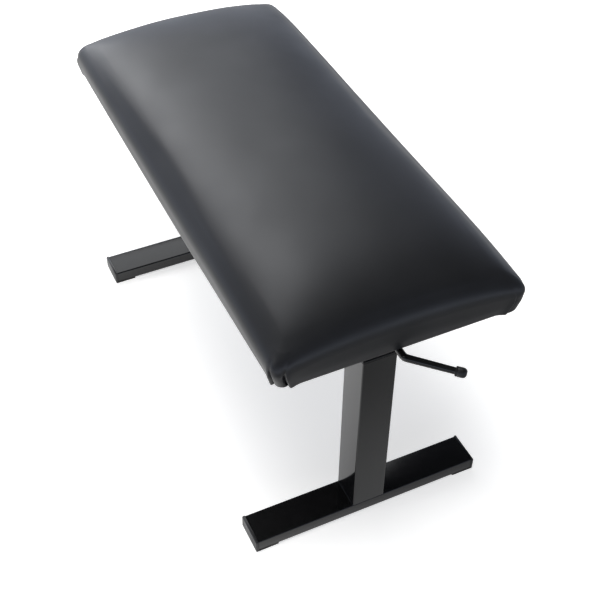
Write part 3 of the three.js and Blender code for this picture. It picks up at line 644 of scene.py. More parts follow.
def inflate(piece, pinned, rest):
    # the cover swells under pressure from a slightly wider and lower shape, with the hem held under the board
    group = piece.vertex_groups.new(name="held")
    group.add(pinned, 1.0, "REPLACE")
    modifier = piece.modifiers.new("Cloth", "CLOTH")
    for key, value in coverCloth.items():
        setattr(modifier.settings, key, value)
    modifier.settings.vertex_group_mass = "held"
    modifier.settings.effector_weights.gravity = 0
    modifier.collision_settings.use_collision = False
    modifier.point_cache.frame_end = cushion["frames"]
    for number in range(1, cushion["frames"] + 1):
        bpy.context.scene.frame_set(number)
    solved = piece.evaluated_get(bpy.context.evaluated_depsgraph_get()).data
    points = np.zeros(len(solved.vertices) * 3)
    solved.vertices.foreach_get("co", points)
    piece.modifiers.remove(modifier)
    bpy.context.scene.frame_set(1)
    shift = points.reshape(-1, 3) - rest
    joined = np.zeros(len(piece.data.edges) * 2, int)
    piece.data.edges.foreach_get("vertices", joined)
    first, second = joined.reshape(-1, 2).T
    count = np.bincount(joined, minlength=len(rest))[:, None]
    held = np.zeros(len(rest), bool)
    held[pinned] = True
    for _ in range(cushion["settle"]):  # evens out creases that the mesh is too coarse for
        total = np.zeros_like(shift)
        np.add.at(total, first, shift[second])
        np.add.at(total, second, shift[first])
        shift = 0.5 * shift + 0.5 * total / count
        shift[held] = 0
    far = np.linalg.norm(shift, axis=1, keepdims=True)
    print("cushion moved, mm:", round(float(far.mean() / mm), 2), round(float(far.max() / mm), 2))
    return rest + shift * cushion["limit"] / np.sqrt(cushion["limit"] ** 2 + far ** 2)


def pleatCorners(points, heights, corner):
    # laps the side panels over a tucked tongue at each corner, below the band's fullest part
    signs = np.sign(points[:, :2])
    away = np.abs(corner)
    bend = cushion["corner"] * math.pi / 4
    hand = np.where(corner < 0, 1, -1)
    turn = np.where(away <= bend, np.pi / 4 + hand * away / cushion["corner"],
                    np.where(corner < 0, np.pi / 2, 0.0))
    outward = np.stack([np.cos(turn), np.sin(turn)], 1) * signs
    toPanel = np.stack([-np.sin(turn), np.cos(turn)], 1) * signs * hand[:, None]
    rise = np.clip((pleat["top"] - heights) / (pleat["top"] * pleat["fade"]), 0, 1)
    fade = rise * rise * (3 - 2 * rise)
    slit = np.where(corner < 0, *pleat["slit"])
    across = (away - slit) / mm
    across = np.where(across < 0, across * -pleatAcross[0] * mm / slit, across)
    along = np.interp(across, pleatAcross, pleatAlong, 0, 0) * mm * fade
    out = np.interp(across, pleatAcross, pleatOut, pleatOut[0], 0) * mm * fade
    shallow = pleat["shallow"] + (1 - pleat["shallow"]) * np.clip(heights / pleat["shallowHeight"], 0, 1)
    out = np.where(out < 0, out * shallow * byCorner(points, cornerTuck), out)
    swell = cushion["bulge"][0] * np.sin(np.clip(heights / cushion["band"], 0, 1) * np.pi / 2)
    out = np.maximum(out, -pleat["leather"] - swell)  # the cover stays outside the board
    lobe = np.exp(-(away / pleat["lobeWidth"]) ** 2) * np.clip(1 - heights / pleat["lobeHeight"], 0, 1)
    out += byCorner(points, cornerLobe) * lobe
    near = away < pleat["reach"]
    points[:, :2] += np.where(near[:, None], outward * out[:, None] + toPanel * along[:, None], 0)
    panelMiddle, panelWidth = pleat["panel"]
    panel = np.clip(1 - np.abs(across - panelMiddle) / panelWidth, 0, 1) * (across > -0.5)
    low = np.clip(1 - heights / pleat["droopHeight"], 0, 1)
    points[:, 2] -= np.where(near, pleat["droop"] * low * panel, 0)
    outer = np.clip(1 - (cushion["halfLength"] - np.abs(points[:, 0])) / pleat["endReach"], 0, 1)
    points[:, 2] -= pleat["endDroop"] * low * outer * np.where(near, 1 - panel, 1)
    # tension lines that fan up from the top of each slit
    (lowest, fadeIn), (highest, fadeOut) = pleat["pinchLow"], pleat["pinchHigh"]
    above = np.clip((heights - lowest) / fadeIn, 0, 1) * np.clip((highest - heights) / fadeOut, 0, 1)
    pinch = np.exp(-(np.abs(across) / pleat["pinchWidth"]) ** 2) * above * np.where(near, 1, 0)
    points[:, :2] -= outward * (pinch * pleat["pinch"])[:, None]
    return points


def makeCushion():
    vertices, faces, heights, corner = cushionBase()
    slack = np.clip(heights / cushion["band"], 0, 1)[:, None]
    vertices = vertices * (1 + slack * np.array([*cushion["startWider"], 0.0]))
    above = np.clip((heights - cushion["band"]) / cushion["lowerReach"], 0, 1)
    vertices[:, 2] -= cushion["startLower"] * above
    vertices += np.array([seatMid.x, 0, rimZ])
    mesh = bpy.data.meshes.new("seat_cushion")
    mesh.from_pydata(vertices.tolist(), [], [tuple(int(v) for v in face) for face in faces])
    bm = bmesh.new()
    bm.from_mesh(mesh)
    bmesh.ops.recalc_face_normals(bm, faces=bm.faces)
    if max(bm.faces, key=lambda face: face.calc_center_median().z).normal.z < 0:
        bmesh.ops.reverse_faces(bm, faces=bm.faces)
    bm.to_mesh(mesh)
    bm.free()
    for label, values in (("heightOverRim", heights), ("cornerDistance", corner)):
        mesh.attributes.new(label, "FLOAT", "POINT").data.foreach_set("value", values.astype(np.float32))
    piece = newObject("seat_cushion", mesh)
    held = [int(v) for v in np.nonzero(heights < cushion["held"])[0]]
    mesh.vertices.foreach_set("co", inflate(piece, held, vertices).ravel())
    mesh.update()
    piece.vertex_groups.clear()
    smooth = piece.modifiers.new("Subdivision", "SUBSURF")
    smooth.levels = smooth.render_levels = 1
    fine = bpy.data.meshes.new_from_object(piece.evaluated_get(bpy.context.evaluated_depsgraph_get()))
    piece.modifiers.clear()
    piece.data = fine
    bpy.data.meshes.remove(mesh)
    fine.name = "seat_cushion"
    count = len(fine.vertices)
    points, heights, corner = np.zeros(count * 3), np.zeros(count), np.zeros(count)
    fine.vertices.foreach_get("co", points)
    fine.attributes["heightOverRim"].data.foreach_get("value", heights)
    fine.attributes["cornerDistance"].data.foreach_get("value", corner)
    points = points.reshape(-1, 3) - np.array([seatMid.x, 0, 0])
    points = pleatCorners(points, heights, corner)
    for number in np.nonzero(heights > cushion["waveStart"])[0]:
        wave = noise.noise(Vector(points[number] * cushion["waveScale"])) * cushion["waviness"]
        points[number, 2] += wave * min(1.0, heights[number] / cushion["waveReach"])
    points += np.array([seatMid.x, 0, 0])
    fine.vertices.foreach_set("co", points.ravel())
    for label in ("heightOverRim", "cornerDistance"):
        fine.attributes.remove(fine.attributes[label])
    bm = bmesh.new()
    bm.from_mesh(fine)
    bmesh.ops.holes_fill(bm, edges=[edge for edge in bm.edges if edge.is_boundary])  # hidden over the board
    bmesh.ops.recalc_face_normals(bm, faces=bm.faces)
    bm.to_mesh(fine)
    bm.free()
    fine.shade_smooth()
    fine.update()
    fine.materials.append(looks["black_leather"])
    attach(piece, "seat")
    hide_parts("seat_cover", "foam_pad")


makeCushion()
print("stage: cushion made")


# Lining cloth under the board, and the staples along the hem

lining = {
    "stepsX": 120, "stepsY": 48, "thickness": 0.0005, "sag": 0.0012, "edge": 0.03,  # flat close to its edge
    "legGap": (0.040, 0.03), "sideGap": (0.030, 0.02), "clipGap": (0.025, 0.02),  # and round what holds it
    "stapleGap": 0.036, "stapleInset": 0.008, "stapleStart": 0.02, "stapleJitter": 0.002, "stapleLean": 8,
    "clipHalf": 0.024,
}
board = {"corner": 0.030, "edge": 0.0008}


def makeBoard():
    low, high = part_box("seat_board")
    halfX, halfY, halfZ = halfSize("seat_board")
    outline = roundedRectangle(halfX, halfY, board["corner"], 10)
    sheet = moved(plate(outline, [], high.z - low.z, board["edge"]), seatMid.x, 0, low.z + halfZ)
    finishPiece("seat_board_plywood", sheet, "seat", "plywood", ["seat_board"])


def fadeFrom(distance, gap):
    start, width = gap
    return max(0.0, (distance - start) / width)


def makeLining():
    low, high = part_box("dust_cover")
    bm = bmesh.new()
    layers = []
    for face in (0, 1):
        rows = []
        for i in range(lining["stepsX"] + 1):
            x = low.x + (high.x - low.x) * i / lining["stepsX"]
            row = []
            for j in range(lining["stepsY"] + 1):
                y = low.y + (high.y - low.y) * j / lining["stepsY"]
                free = limited(min(x - low.x, high.x - x, y - low.y, high.y - y) / lining["edge"])
                legAway = min(abs(x - legX[end]) for end in ends)
                free *= limited(fadeFrom(legAway, lining["legGap"]) + fadeFrom(abs(y), lining["sideGap"]))
                free *= limited(fadeFrom(math.hypot(x - seatMid.x, y), lining["clipGap"]))
                wave = 0.5 + 0.5 * noise.noise(Vector((x * 22, y * 30, 1.7)))
                sag = lining["sag"] * free * wave
                row.append(bm.verts.new((x, y, high.z - 0.00005 - face * lining["thickness"] - sag)))
            rows.append(row)
        layers.append(rows)
    for rows in layers:
        for i in range(lining["stepsX"]):
            for j in range(lining["stepsY"]):
                bm.faces.new((rows[i][j], rows[i + 1][j], rows[i + 1][j + 1], rows[i][j + 1]))
    upper, lower = layers
    lastX, lastY = lining["stepsX"], lining["stepsY"]
    border = [(i, 0) for i in range(lastX)] + [(lastX, j) for j in range(lastY)]
    border += [(i, lastY) for i in range(lastX, 0, -1)] + [(0, j) for j in range(lastY, 0, -1)]
    for (i, j), (k, m) in zip(border, border[1:] + border[:1]):
        bm.faces.new((upper[i][j], upper[k][m], lower[k][m], lower[i][j]))
    bmesh.ops.recalc_face_normals(bm, faces=bm.faces)
    piece = finishPiece("seat_lining", bm, "seat", "lining_cloth", ["dust_cover"])


stapleShape = {  # in mm
    "path": ((-5.2, 0.9), (-5.0, -0.2), (-4.6, -0.5), (4.6, -0.5), (5.0, -0.2), (5.2, 0.9)),
    "wire": ((0, -0.5, -0.25), (0, 0.5, -0.25), (0, 0.5, 0.25), (0, -0.5, 0.25)),
}


def staple(x, y, turn):
    # crown and two short bent legs, as one bent wire of flat section
    rings = [[((across + dx) * mm, dy * mm, (drop + dz) * mm) for dx, dy, dz in stapleShape["wire"]]
             for across, drop in stapleShape["path"]]
    return moved(stackRings(rings), x, y, rimZ, turnAbout("Z", turn))


def makeStaples():
    placeX = cushion["halfLength"] - cushion["hem"] + lining["stapleInset"]
    placeY = cushion["halfWidth"] - cushion["hem"] + lining["stapleInset"]
    parts = []
    for half, other, turned in ((placeX, placeY, False), (placeY, placeX, True)):
        reach = half - lining["stapleStart"]
        count = round(2 * reach / lining["stapleGap"])
        for number in range(count + 1):
            along = -reach + number * 2 * reach / count
            for side in (-1, 1):
                jitter = random.uniform(-lining["stapleJitter"], lining["stapleJitter"])
                lean = random.uniform(-lining["stapleLean"], lining["stapleLean"])
                x, y = (side * other, along + jitter) if turned else (along + jitter, side * other)
                if turned and abs(along) < lining["clipHalf"]:  # the outer clips sit here
                    continue
                parts.append(staple(seatMid.x + x, y, lean + (90 if turned else 0)))
    finishPiece("hem_staples", merged(*parts), "seat", "zinc_steel")


makeBoard()
makeLining()
makeStaples()
print("stage: lining and staples made")


# Tubes of the legs

tube = {"corner": 0.0024, "wall": 0.002, "edge": 0.0004, "innerCorner": 0.0006}
weld = {"size": 0.0003, "steps": 46, "ripple": 0.12, "ripplePitch": 2.1,
        "section": ((-0.5, -0.05), (1.0, -0.05), (0.62, 0.22), (0.3, 0.5), (0.05, 1.0), (-0.5, 1.0))}


def boxTube(halfX, halfY, low, high):
    # an upright tube with rounded edges and slightly rounded ends
    edge, wall = tube["edge"], tube["wall"]
    inside = max(tube["corner"] - wall, tube["innerCorner"])
    rings = [raised(roundedRectangle(halfX - inset, halfY - inset, tube["corner"]), z)
             for inset, z in ((edge, low), (0, low + edge), (0, high - edge), (edge, high))]
    rings += [raised(roundedRectangle(halfX - wall - inset, halfY - wall - inset, inside), z)
              for inset, z in ((-edge, high), (0, high - edge), (0, low + edge), (-edge, low))]
    return stackRings(rings, closed=True)


def weldBead(half, z):
    # a narrow fillet round the foot of the post, with the ripples that a weld leaves under the paint
    base = roundedRectangle(half, half, tube["corner"], 8)
    path = []
    for (x0, y0), (x1, y1) in zip(base, base[1:] + base[:1]):
        count = max(1, round(math.hypot(x1 - x0, y1 - y0) / (4 * half / weld["steps"])))
        path += [(x0 + (x1 - x0) * k / count, y0 + (y1 - y0) * k / count) for k in range(count)]
    rings = []
    for k, (x, y) in enumerate(path):
        before, after = path[k - 1], path[(k + 1) % len(path)]
        dx, dy = after[0] - before[0], after[1] - before[1]
        length = math.hypot(dx, dy)
        swell = weld["size"] * (1 + weld["ripple"] * math.sin(k * weld["ripplePitch"]))
        rings.append([(x + dy / length * out * swell, y - dx / length * out * swell, z + up * swell)
                      for out, up in weld["section"]])
    return stackRings(rings, closed=True)


def makeLegTubes(end):
    x, leg = legX[end], f"{end}_leg"
    halfFoot, _, halfRise = halfSize(f"{end}_foot")
    halfPost, halfInner = halfSize(f"{end}_post")[0], halfSize(f"{end}_inner_tube")[0]
    low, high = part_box(f"{end}_foot")
    foot = moved(boxTube(halfFoot, halfRise, low.y, high.y), x, 0, low.z + halfRise, turnAbout("X", 90))
    finishPiece(f"{end}_foot_tube", foot, leg, "black_paint", [f"{end}_foot"])
    low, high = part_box(f"{end}_post")
    post = moved(boxTube(halfPost, halfPost, low.z, high.z), x)
    finishPiece(f"{end}_post_tube", post, leg, "black_paint", [f"{end}_post"])
    finishPiece(f"{end}_post_weld", moved(weldBead(halfPost, low.z), x), leg, "black_paint")
    low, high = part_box(f"{end}_inner_tube")
    column = moved(boxTube(halfInner, halfInner, low.z, high.z), x)
    finishPiece(f"{end}_column_tube", column, f"{end}_column", "zinc_steel", [f"{end}_inner_tube"])


# Foot caps

footCap = {
    "ridges": 4, "ridgeRise": 0.0005, "ridgeSteps": 12, "ridgePower": 6, "edge": 0.0012, "flange": 0.004,
    "rounding": 0.0006, "base": 0.0008, "flangeInset": 0.002,
    "sides": ((0.0009, 0.0), (0.0003, 0.0003), (0.0, 0.0009)),  # how much smaller, and how far in
}


def capOutline(low, high, padLength, padTop):
    # section along the foot: distance inwards from the end, and height; the end face has rounded ridges
    rise, edge, base, rounding = (footCap[key] for key in ("ridgeRise", "edge", "base", "rounding"))
    points = [(footCap["flange"], high), (edge + rise, high), (rise + 0.0003, high - edge * 0.6)]
    steps = footCap["ridges"] * footCap["ridgeSteps"]
    for step in range(steps + 1):
        wave = 0.5 - 0.5 * math.cos(2 * math.pi * step / footCap["ridgeSteps"])
        z = high - edge - step / steps * (high - low - edge - base)
        points.append((rise * (1 - wave) ** footCap["ridgePower"], z))
    return points + [(rise + 0.0003, low + 0.0002), (rise + base, low), (padLength - rounding, low),
                     (padLength, low + rounding), (padLength, padTop), (footCap["flange"], padTop)]


def makeFootCap(end, hand, side):
    node = f"{end}_foot_cap_{hand}"
    low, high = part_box(node)
    tubeLow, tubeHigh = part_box(f"{end}_foot")
    endY = high.y if side > 0 else low.y
    half, padHalf = (high.x - low.x) / 2, tubeHigh.x - legX[end]
    centreZ = (low.z + high.z) / 2
    section = capOutline(low.z, high.z, high.y - low.y, tubeLow.z - 0.0001)
    rings = []
    for share, sides in ((-1, footCap["sides"]), (1, footCap["sides"][::-1])):
        for smaller, inFromSide in sides:
            ring = []
            for inward, z in section:
                x = half - inFromSide
                if inward > footCap["flange"] + 1e-6:  # the sole pad stays within the tube's width
                    x = min(x, padHalf)
                y = inward + (smaller if inward < footCap["flangeInset"] else 0)
                ring.append((share * x, endY - side * y, max(z - math.copysign(smaller, z - centreZ), low.z)))
            rings.append(ring)
    cap = moved(stackRings(rings), legX[end])
    finishPiece(f"{node}_moulding", cap, f"{end}_leg", "black_plastic", [node])


collar = {
    "neckGap": 0.0001, "brim": (0.0002, 0.0004), "side": (0.0004, 0.0007), "top": 0.0015,
    "mouth": 0.0012, "clearance": 0.0003,
}


def makeCollar(end):
    node = f"{end}_guide_collar"
    low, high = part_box(node)
    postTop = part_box(f"{end}_post")[1].z
    half = halfSize(node)[0]
    bore = halfSize(f"{end}_inner_tube")[0] + collar["clearance"]
    neck, mouth = half - tube["wall"] - collar["neckGap"], collar["mouth"]
    (brimIn, brimUp), (sideIn, sideDown) = collar["brim"], collar["side"]
    levels = [(neck, low.z), (neck, postTop), (half - brimIn, postTop), (half, postTop + brimUp),
              (half - sideIn, high.z - sideDown), (half - collar["top"], high.z), (bore + mouth, high.z),
              (bore, high.z - mouth), (bore, low.z)]
    rings = [raised(roundedRectangle(width, width, tube["corner"]), z) for width, z in levels]
    ring = moved(stackRings(rings, closed=True), legX[end])
    finishPiece(f"{end}_collar_moulding", ring, f"{end}_leg", "black_plastic", [node])


for end in ends:
    makeLegTubes(end)
    for hand, side in hands.items():
        makeFootCap(end, hand, side)
    makeCollar(end)
print("stage: legs made")


# Fasteners

def hexHead(across, height, sides=48):
    # a bolt head from z = 0 up, with its corners turned off: each level's largest radius, as a share of half
    # the width, and its height
    levels = [(0.93, 0.0), (0.93, 0.0004), (2, 0.0005), (2, height - 0.0012), (1.03, height - 0.0002),
              (0.96, height)]
    rings = []
    for largest, z in levels:
        ring = []
        for side in range(sides):
            turn = 2 * math.pi * side / sides
            radius = across / 2 * min(largest, 1 / math.cos(turn % (math.pi / 3) - math.pi / 6))
            ring.append((radius * math.cos(turn), radius * math.sin(turn), z))
        rings.append(ring)
    return stackRings(rings)


screwShape = {  # shares of the head's radius and height, and of the shank's radius and depth
    "slot": 0.17, "slope": 0.5, "reach": 0.62, "sunk": 0.6,
    "turns": 9, "threadStart": 0.25, "threadLength": 0.62, "crest": 0.03, "root": 0.78, "point": (0.7, 0.9),
}


def crossHead(radius, height, steps=48, rows=14):
    # a domed screw head from z = 0 up, with a cross recess sunk into it
    bm = bmesh.new()
    slot, reach = radius * screwShape["slot"], radius * screwShape["reach"]
    rings = []
    for row in range(rows + 1):
        turn = row / rows * math.pi / 2
        points = circle(0, 0, radius * math.cos(turn), steps) if row < rows else [(0.0, 0.0)]
        ring = []
        for x, y in points:
            longer, shorter = max(abs(x), abs(y)), min(abs(x), abs(y))
            sunk = limited((slot - shorter) / (slot * screwShape["slope"])) * limited((reach - longer) / slot)
            ring.append(bm.verts.new((x, y, height * (math.sin(turn) - sunk * screwShape["sunk"]))))
        rings.append(ring)
    base = [bm.verts.new((v.co.x, v.co.y, -0.0002)) for v in rings[0]]
    for low, high in zip([base] + rings, rings):
        skin(bm, low, high)
    bm.faces.new(list(reversed(base)))
    bmesh.ops.recalc_face_normals(bm, faces=bm.faces)
    return bm


def screwPiece(name, place, size, depth, replaced=()):
    # head below the surface that it holds, threaded shank above
    headRadius, headHeight, shank = size
    pointRadius, pointStart = screwShape["point"]
    profile = [(0, -0.0004), (shank, -0.0004)]
    for turn in range(screwShape["turns"]):
        z = depth * (screwShape["threadStart"] + screwShape["threadLength"] * turn / screwShape["turns"])
        profile += [(shank * screwShape["root"], z), (shank, z + depth * screwShape["crest"])]
    profile += [(shank * pointRadius, depth * pointStart), (0, depth)]
    head = moved(crossHead(headRadius, headHeight), turn=turnAbout("X", 180))
    whole = moved(merged(head, lathe(profile, 20)), *place, turn=turnAbout("Z", random.uniform(0, 90)))
    finishPiece(name, whole, "seat", "zinc_steel", replaced, 50)


# Brackets: one bent blank each, drawn flat and folded at both sides of the web

bracket = {
    "sheet": 0.0025, "bendOuter": 0.0036, "bendCuts": 7, "edge": 0.0004, "shoulder": 0.012,
    "cheekRadius": 0.024, "pivotHole": 0.0043, "screwHole": 0.0028, "slotHalf": 0.0043, "slotTurn": 90,
    "bridgeHalf": 0.011, "bridgeHole": 0.0033, "bridgeDrop": 0.0085,  # the bridge guides the push rod
    "screw": (0.005, 0.0028, 0.0025),  # radius and height of the head, radius of the shank
}


def arc(x, y, radius, start, stop, steps=16):
    turns = [start + (stop - start) * step / steps for step in range(steps + 1)]
    return [(x + radius * math.cos(turn), y + radius * math.sin(turn)) for turn in turns]


def bracketBlank(end, half, cheekOuter, top):
    # outline and holes of the flat blank; its second coordinate runs across the web and down the cheeks
    web = cheekOuter - bracket["bendOuter"]
    lead = web + bracket["bendOuter"] * math.pi / 2
    pivot = lead + (top - bracket["bendOuter"] - pivotZ[end])
    shoulder = lead + (bracket["shoulder"] - bracket["bendOuter"])
    spread = math.atan2(half - bracket["cheekRadius"], pivot - shoulder) / 2
    cheek = [(half, shoulder)] + arc(0, pivot, bracket["cheekRadius"], -spread, math.pi + spread, 30)
    cheek += [(-half, shoulder)]
    outline = cheek + [(-x, -v) for x, v in cheek]
    holes = [circle(0, pivot, bracket["pivotHole"]), circle(0, -pivot, bracket["pivotHole"])]
    for number in range(1, 5):
        place = middle(f"{end}_bracket_screw_{number}")
        holes.append(circle(place.x - legX[end], place.y, bracket["screwHole"]))
    stud = middle(f"{end}_clamp_stud")
    radius = math.hypot(stud.x - legX[end], stud.z - pivotZ[end])
    centre, halfTurn = 0.0 if stud.x > legX[end] else math.pi, math.radians(bracket["slotTurn"]) / 2
    start, stop, width = centre - halfTurn, centre + halfTurn, bracket["slotHalf"]
    slot = arc(0, -pivot, radius + width, start, stop)
    slot += arc(radius * math.cos(stop), -pivot + radius * math.sin(stop), width, stop, stop + math.pi, 8)
    slot += arc(0, -pivot, radius - width, stop, start)
    slot += arc(radius * math.cos(start), -pivot + radius * math.sin(start), width, start + math.pi,
                start + 2 * math.pi, 8)
    return outline, holes + [slot], web, lead


def foldBlank(bm, web, lead, cheekOuter, top):
    radius, cuts = bracket["bendOuter"], bracket["bendCuts"]
    for side in (-1, 1):
        for cut in range(cuts):
            at = side * (web + (lead - web) * cut / (cuts - 1))
            bmesh.ops.bisect_plane(bm, geom=bm.verts[:] + bm.edges[:] + bm.faces[:], dist=1e-6,
                                   plane_co=(0, at, 0), plane_no=(0, 1, 0))
    for vertex in bm.verts:
        across, depth = abs(vertex.co.y), bracket["sheet"] / 2 - vertex.co.z
        side = 1 if vertex.co.y > 0 else -1
        if across <= web:
            y, z = across, top - depth
        elif across <= lead:
            turn = (across - web) / radius
            y = web + (radius - depth) * math.sin(turn)
            z = top - radius + (radius - depth) * math.cos(turn)
        else:
            y, z = cheekOuter - depth, top - radius - (across - lead)
        vertex.co.y, vertex.co.z = side * y, z
    bmesh.ops.recalc_face_normals(bm, faces=bm.faces)
    return bm


def makeBracket(end):
    node, sheet, edge = f"{end}_bracket", bracket["sheet"], bracket["edge"]
    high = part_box(node)[1]
    outline, holes, web, lead = bracketBlank(end, halfSize(node)[0], high.y, high.z)
    parts = [foldBlank(plate(outline, holes, sheet, edge), web, lead, high.y, high.z)]
    if end == "far":
        guide = roundedRectangle(bracket["bridgeHalf"], high.y - sheet + 0.0002, 0.001)
        bridge = plate(guide, [circle(0, 0, bracket["bridgeHole"])], sheet, edge)
        parts.append(moved(bridge, z=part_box("far_push_rod")[1].z - bracket["bridgeDrop"] - sheet / 2))
    finishPiece(f"{end}_bracket_steel", moved(merged(*parts), legX[end]), "seat", "black_paint", [node])
    for number in range(1, 5):
        screw, under = f"{end}_bracket_screw_{number}", high.z - sheet
        x, y = middle(screw).xy
        screwPiece(f"{screw}_zinc", (x, y, under), bracket["screw"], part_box(screw)[1].z - under, [screw])


# Pivot bolts, clamps and release pins

pivotBolt = {"head": 0.0121, "shank": 0.004, "tip": 0.0034, "tipLength": 0.0008}
clamp = {
    "lobes": 6, "lobeSteps": 16, "scallop": 0.0035, "radius": 0.018, "edge": 0.0026, "hub": 0.007,
    "star": 0.014, "starFoot": ((0.0088, 0.0), (0.0030, 0.0), (0.0012, 0.0004)),  # the star's height and foot
    "cup": ((0.0095, 0.0), (0.0088, 0.0005), (0.0082, 0.0012), (0.004, 0.0014), (0.0005, 0.0015)),
    "bore": 0.0043, "chamfer": 0.0003, "thread": (0.0039, 0.0034), "pitch": 0.00125, "flank": 0.0006,
    "tip": (0.0032, 0.0038), "threadStart": 0.0008,
}
releasePin = {"tip": 0.0025, "base": 0.003}


def sideways(bm, x, z, side=-1):
    # a piece drawn along Z from the bench's middle plane, turned to point along Y
    return moved(bm, x, 0, z, turnAbout("X", 90 if side < 0 else -90))


def alongStud(node):
    low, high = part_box(node)
    return -high.y, -low.y


def makePivot(end):
    cheek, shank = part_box(f"{end}_bracket")[1].y, pivotBolt["shank"]
    for hand, side in hands.items():
        node = f"{end}_pivot_bolt_{hand}"
        low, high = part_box(node)
        inner, outer = sorted((abs(low.y), abs(high.y)))
        head = moved(hexHead(pivotBolt["head"], outer - cheek - 0.0003), z=cheek + 0.0003)
        bolt = lathe([(0, inner), (pivotBolt["tip"], inner), (shank, inner + pivotBolt["tipLength"]),
                      (shank, cheek + 0.0006), (0, cheek + 0.0006)], 28)
        bolt = sideways(merged(head, bolt), legX[end], pivotZ[end], side)
        finishPiece(f"{node}_zinc", bolt, f"{end}_column", "zinc_steel", [node])


def starRing(inset, z, steps):
    ring = []
    for step in range(steps):
        turn = 2 * math.pi * step / steps
        lobe = (1 - math.cos(clamp["lobes"] * turn)) / 2
        radius = clamp["radius"] - clamp["scallop"] * lobe - inset
        ring.append((radius * math.cos(turn), radius * math.sin(turn), z))
    return ring


def makeClamp(end):
    body, (x, _, z) = f"{end}_clamp", middle(f"{end}_clamp_stud")
    edge, steps = clamp["edge"], clamp["lobes"] * clamp["lobeSteps"]
    start, stop = alongStud(f"{end}_clamp_knob")
    star = stop - clamp["star"]
    turns = [step * math.pi / 8 for step in range(5)]
    levels = [(inset, star + rise) for inset, rise in clamp["starFoot"]]
    foot = levels[-1][1]
    levels += [(edge * (1 - math.sin(turn)), foot + edge * (1 - math.cos(turn))) for turn in turns[1:]]
    levels += [(edge * (1 - math.cos(turn)), stop - edge + edge * math.sin(turn)) for turn in turns]
    rings = [ringAt(clamp["hub"], height, steps) for height in (start, star - 0.0006)]
    rings += [starRing(inset, height, steps) for inset, height in levels]
    rings += [ringAt(radius, stop - sunk, steps) for radius, sunk in clamp["cup"]]
    finishPiece(f"{end}_clamp_star", sideways(stackRings(rings), x, z), body, "black_plastic",
                [f"{end}_clamp_knob"])
    washer = f"{end}_clamp_washer"
    outer, bore, chamfer = halfSize(washer)[0], clamp["bore"], clamp["chamfer"]
    low, high = alongStud(washer)
    ring = latheRing([(bore, low), (outer - chamfer, low), (outer, low + chamfer), (outer, high - chamfer),
                      (outer - chamfer, high), (bore, high)])
    finishPiece(f"{end}_clamp_disc", sideways(ring, x, z), body, "zinc_steel", [washer])
    low, high = alongStud(f"{end}_clamp_stud")
    (crest, root), (tip, tipEdge), flank = clamp["thread"], clamp["tip"], clamp["flank"]
    profile = [(0, low), (tip, low), (tipEdge, low + flank)]
    count, threadLow = round((start - low) / clamp["pitch"]), low + clamp["threadStart"]
    for turn in range(count):
        height = threadLow + turn * (start - threadLow) / count
        profile += [(crest, height), (root, height + flank)]
    profile += [(crest, start), (crest, high), (0, high)]
    finishPiece(f"{end}_clamp_thread", sideways(lathe(profile, 24), x, z), body, "zinc_steel",
                [f"{end}_clamp_stud"])


def makeReleasePin(end):
    node, tip = f"{end}_release_pin", releasePin["tip"]
    low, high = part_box(node)
    shoulder, radius = low.z + releasePin["base"], halfSize(node)[0]
    profile = [(0, low.z), (radius, low.z), (radius, shoulder), (tip, shoulder), *dome(tip, high.z),
               (0, high.z)]
    pin = moved(lathe(profile, 28), legX[end])
    finishPiece(f"{node}_steel", pin, f"{end}_release", "polished_rod", [node])


for end in ends:
    makeBracket(end)
    makePivot(end)
    makeClamp(end)
    makeReleasePin(end)
print("stage: brackets, pivots and clamps made")


# Height lever

lever = {
    "radius": 0.005, "end": 0.0006, "bendRadius": 0.010, "angle": 45, "sides": 28, "straight": 0.05,
    "camRadius": 0.0077, "camRise": 0.003, "camTurn": 30, "camHold": 15, "hub": 0.0056, "hubTurn": (135, 171),
    "camWidth": 0.010, "beadDepth": 0.0004,  # weld beads at both faces of each cam
    "bead": ((0.0, -0.0012), (0.0006, -0.0012), (0.0016, 0.0), (0.0012, 0.0008), (0.0, 0.0008)),
}
grip = {
    "length": 0.014, "radius": 0.0065, "dome": 0.005, "bore": 0.0053, "boreDepth": 0.0100, "onRod": 0.0097,
    "edge": 0.0006, "boreEdge": 0.0003, "end": (0.0012, 0.0001),
    "groove": ((0.0, 0.0020), (0.0003, 0.0024), (0.0003, 0.0030), (0.0, 0.0034)),  # depth, and place
}
clip = {
    "wing": 0.003, "half": 0.007, "rounding": 0.004, "edge": 0.0006, "foot": 0.002,
    "screwPlace": 0.014, "screw": (0.0035, 0.0020, 0.0018), "screwDepth": 0.012,
}
leverAngle = math.radians(lever["angle"])
leverOut = Vector((math.cos(leverAngle), math.sin(leverAngle), 0))
leverZ = middle("lever_grip").z
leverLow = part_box("lever_rod")[0]
gripLow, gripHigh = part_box("lever_grip")


def leverPath(tip):
    # the shaft's axis: straight along the bench, then turned aside
    bendX = tip.x - tip.y / math.tan(leverAngle)
    reach = lever["bendRadius"] * math.tan(leverAngle / 2)
    straight = (leverLow.x, leverLow.x + lever["end"], bendX - reach - lever["straight"])
    points = [Vector((x, 0, 0)) for x in straight]
    for step in range(13):
        turn = leverAngle * step / 12
        points.append(Vector((bendX - reach + lever["bendRadius"] * math.sin(turn),
                              lever["bendRadius"] * (1 - math.cos(turn)), 0)))
    return points + [tip - leverOut * (grip["length"] - grip["onRod"])]


def sweepRound(points, radius, sides):
    rings = []
    last = len(points) - 1
    for number, point in enumerate(points):
        forward = (points[min(number + 1, last)] - points[max(number - 1, 0)]).normalized()
        across = forward.cross(Vector((0, 0, 1))).normalized()
        up = across.cross(forward)
        size = radius - (lever["end"] if number in (0, last) else 0)
        rings.append([point + across * x + up * y for x, y in circle(0, 0, size, sides)])
    return stackRings(rings)


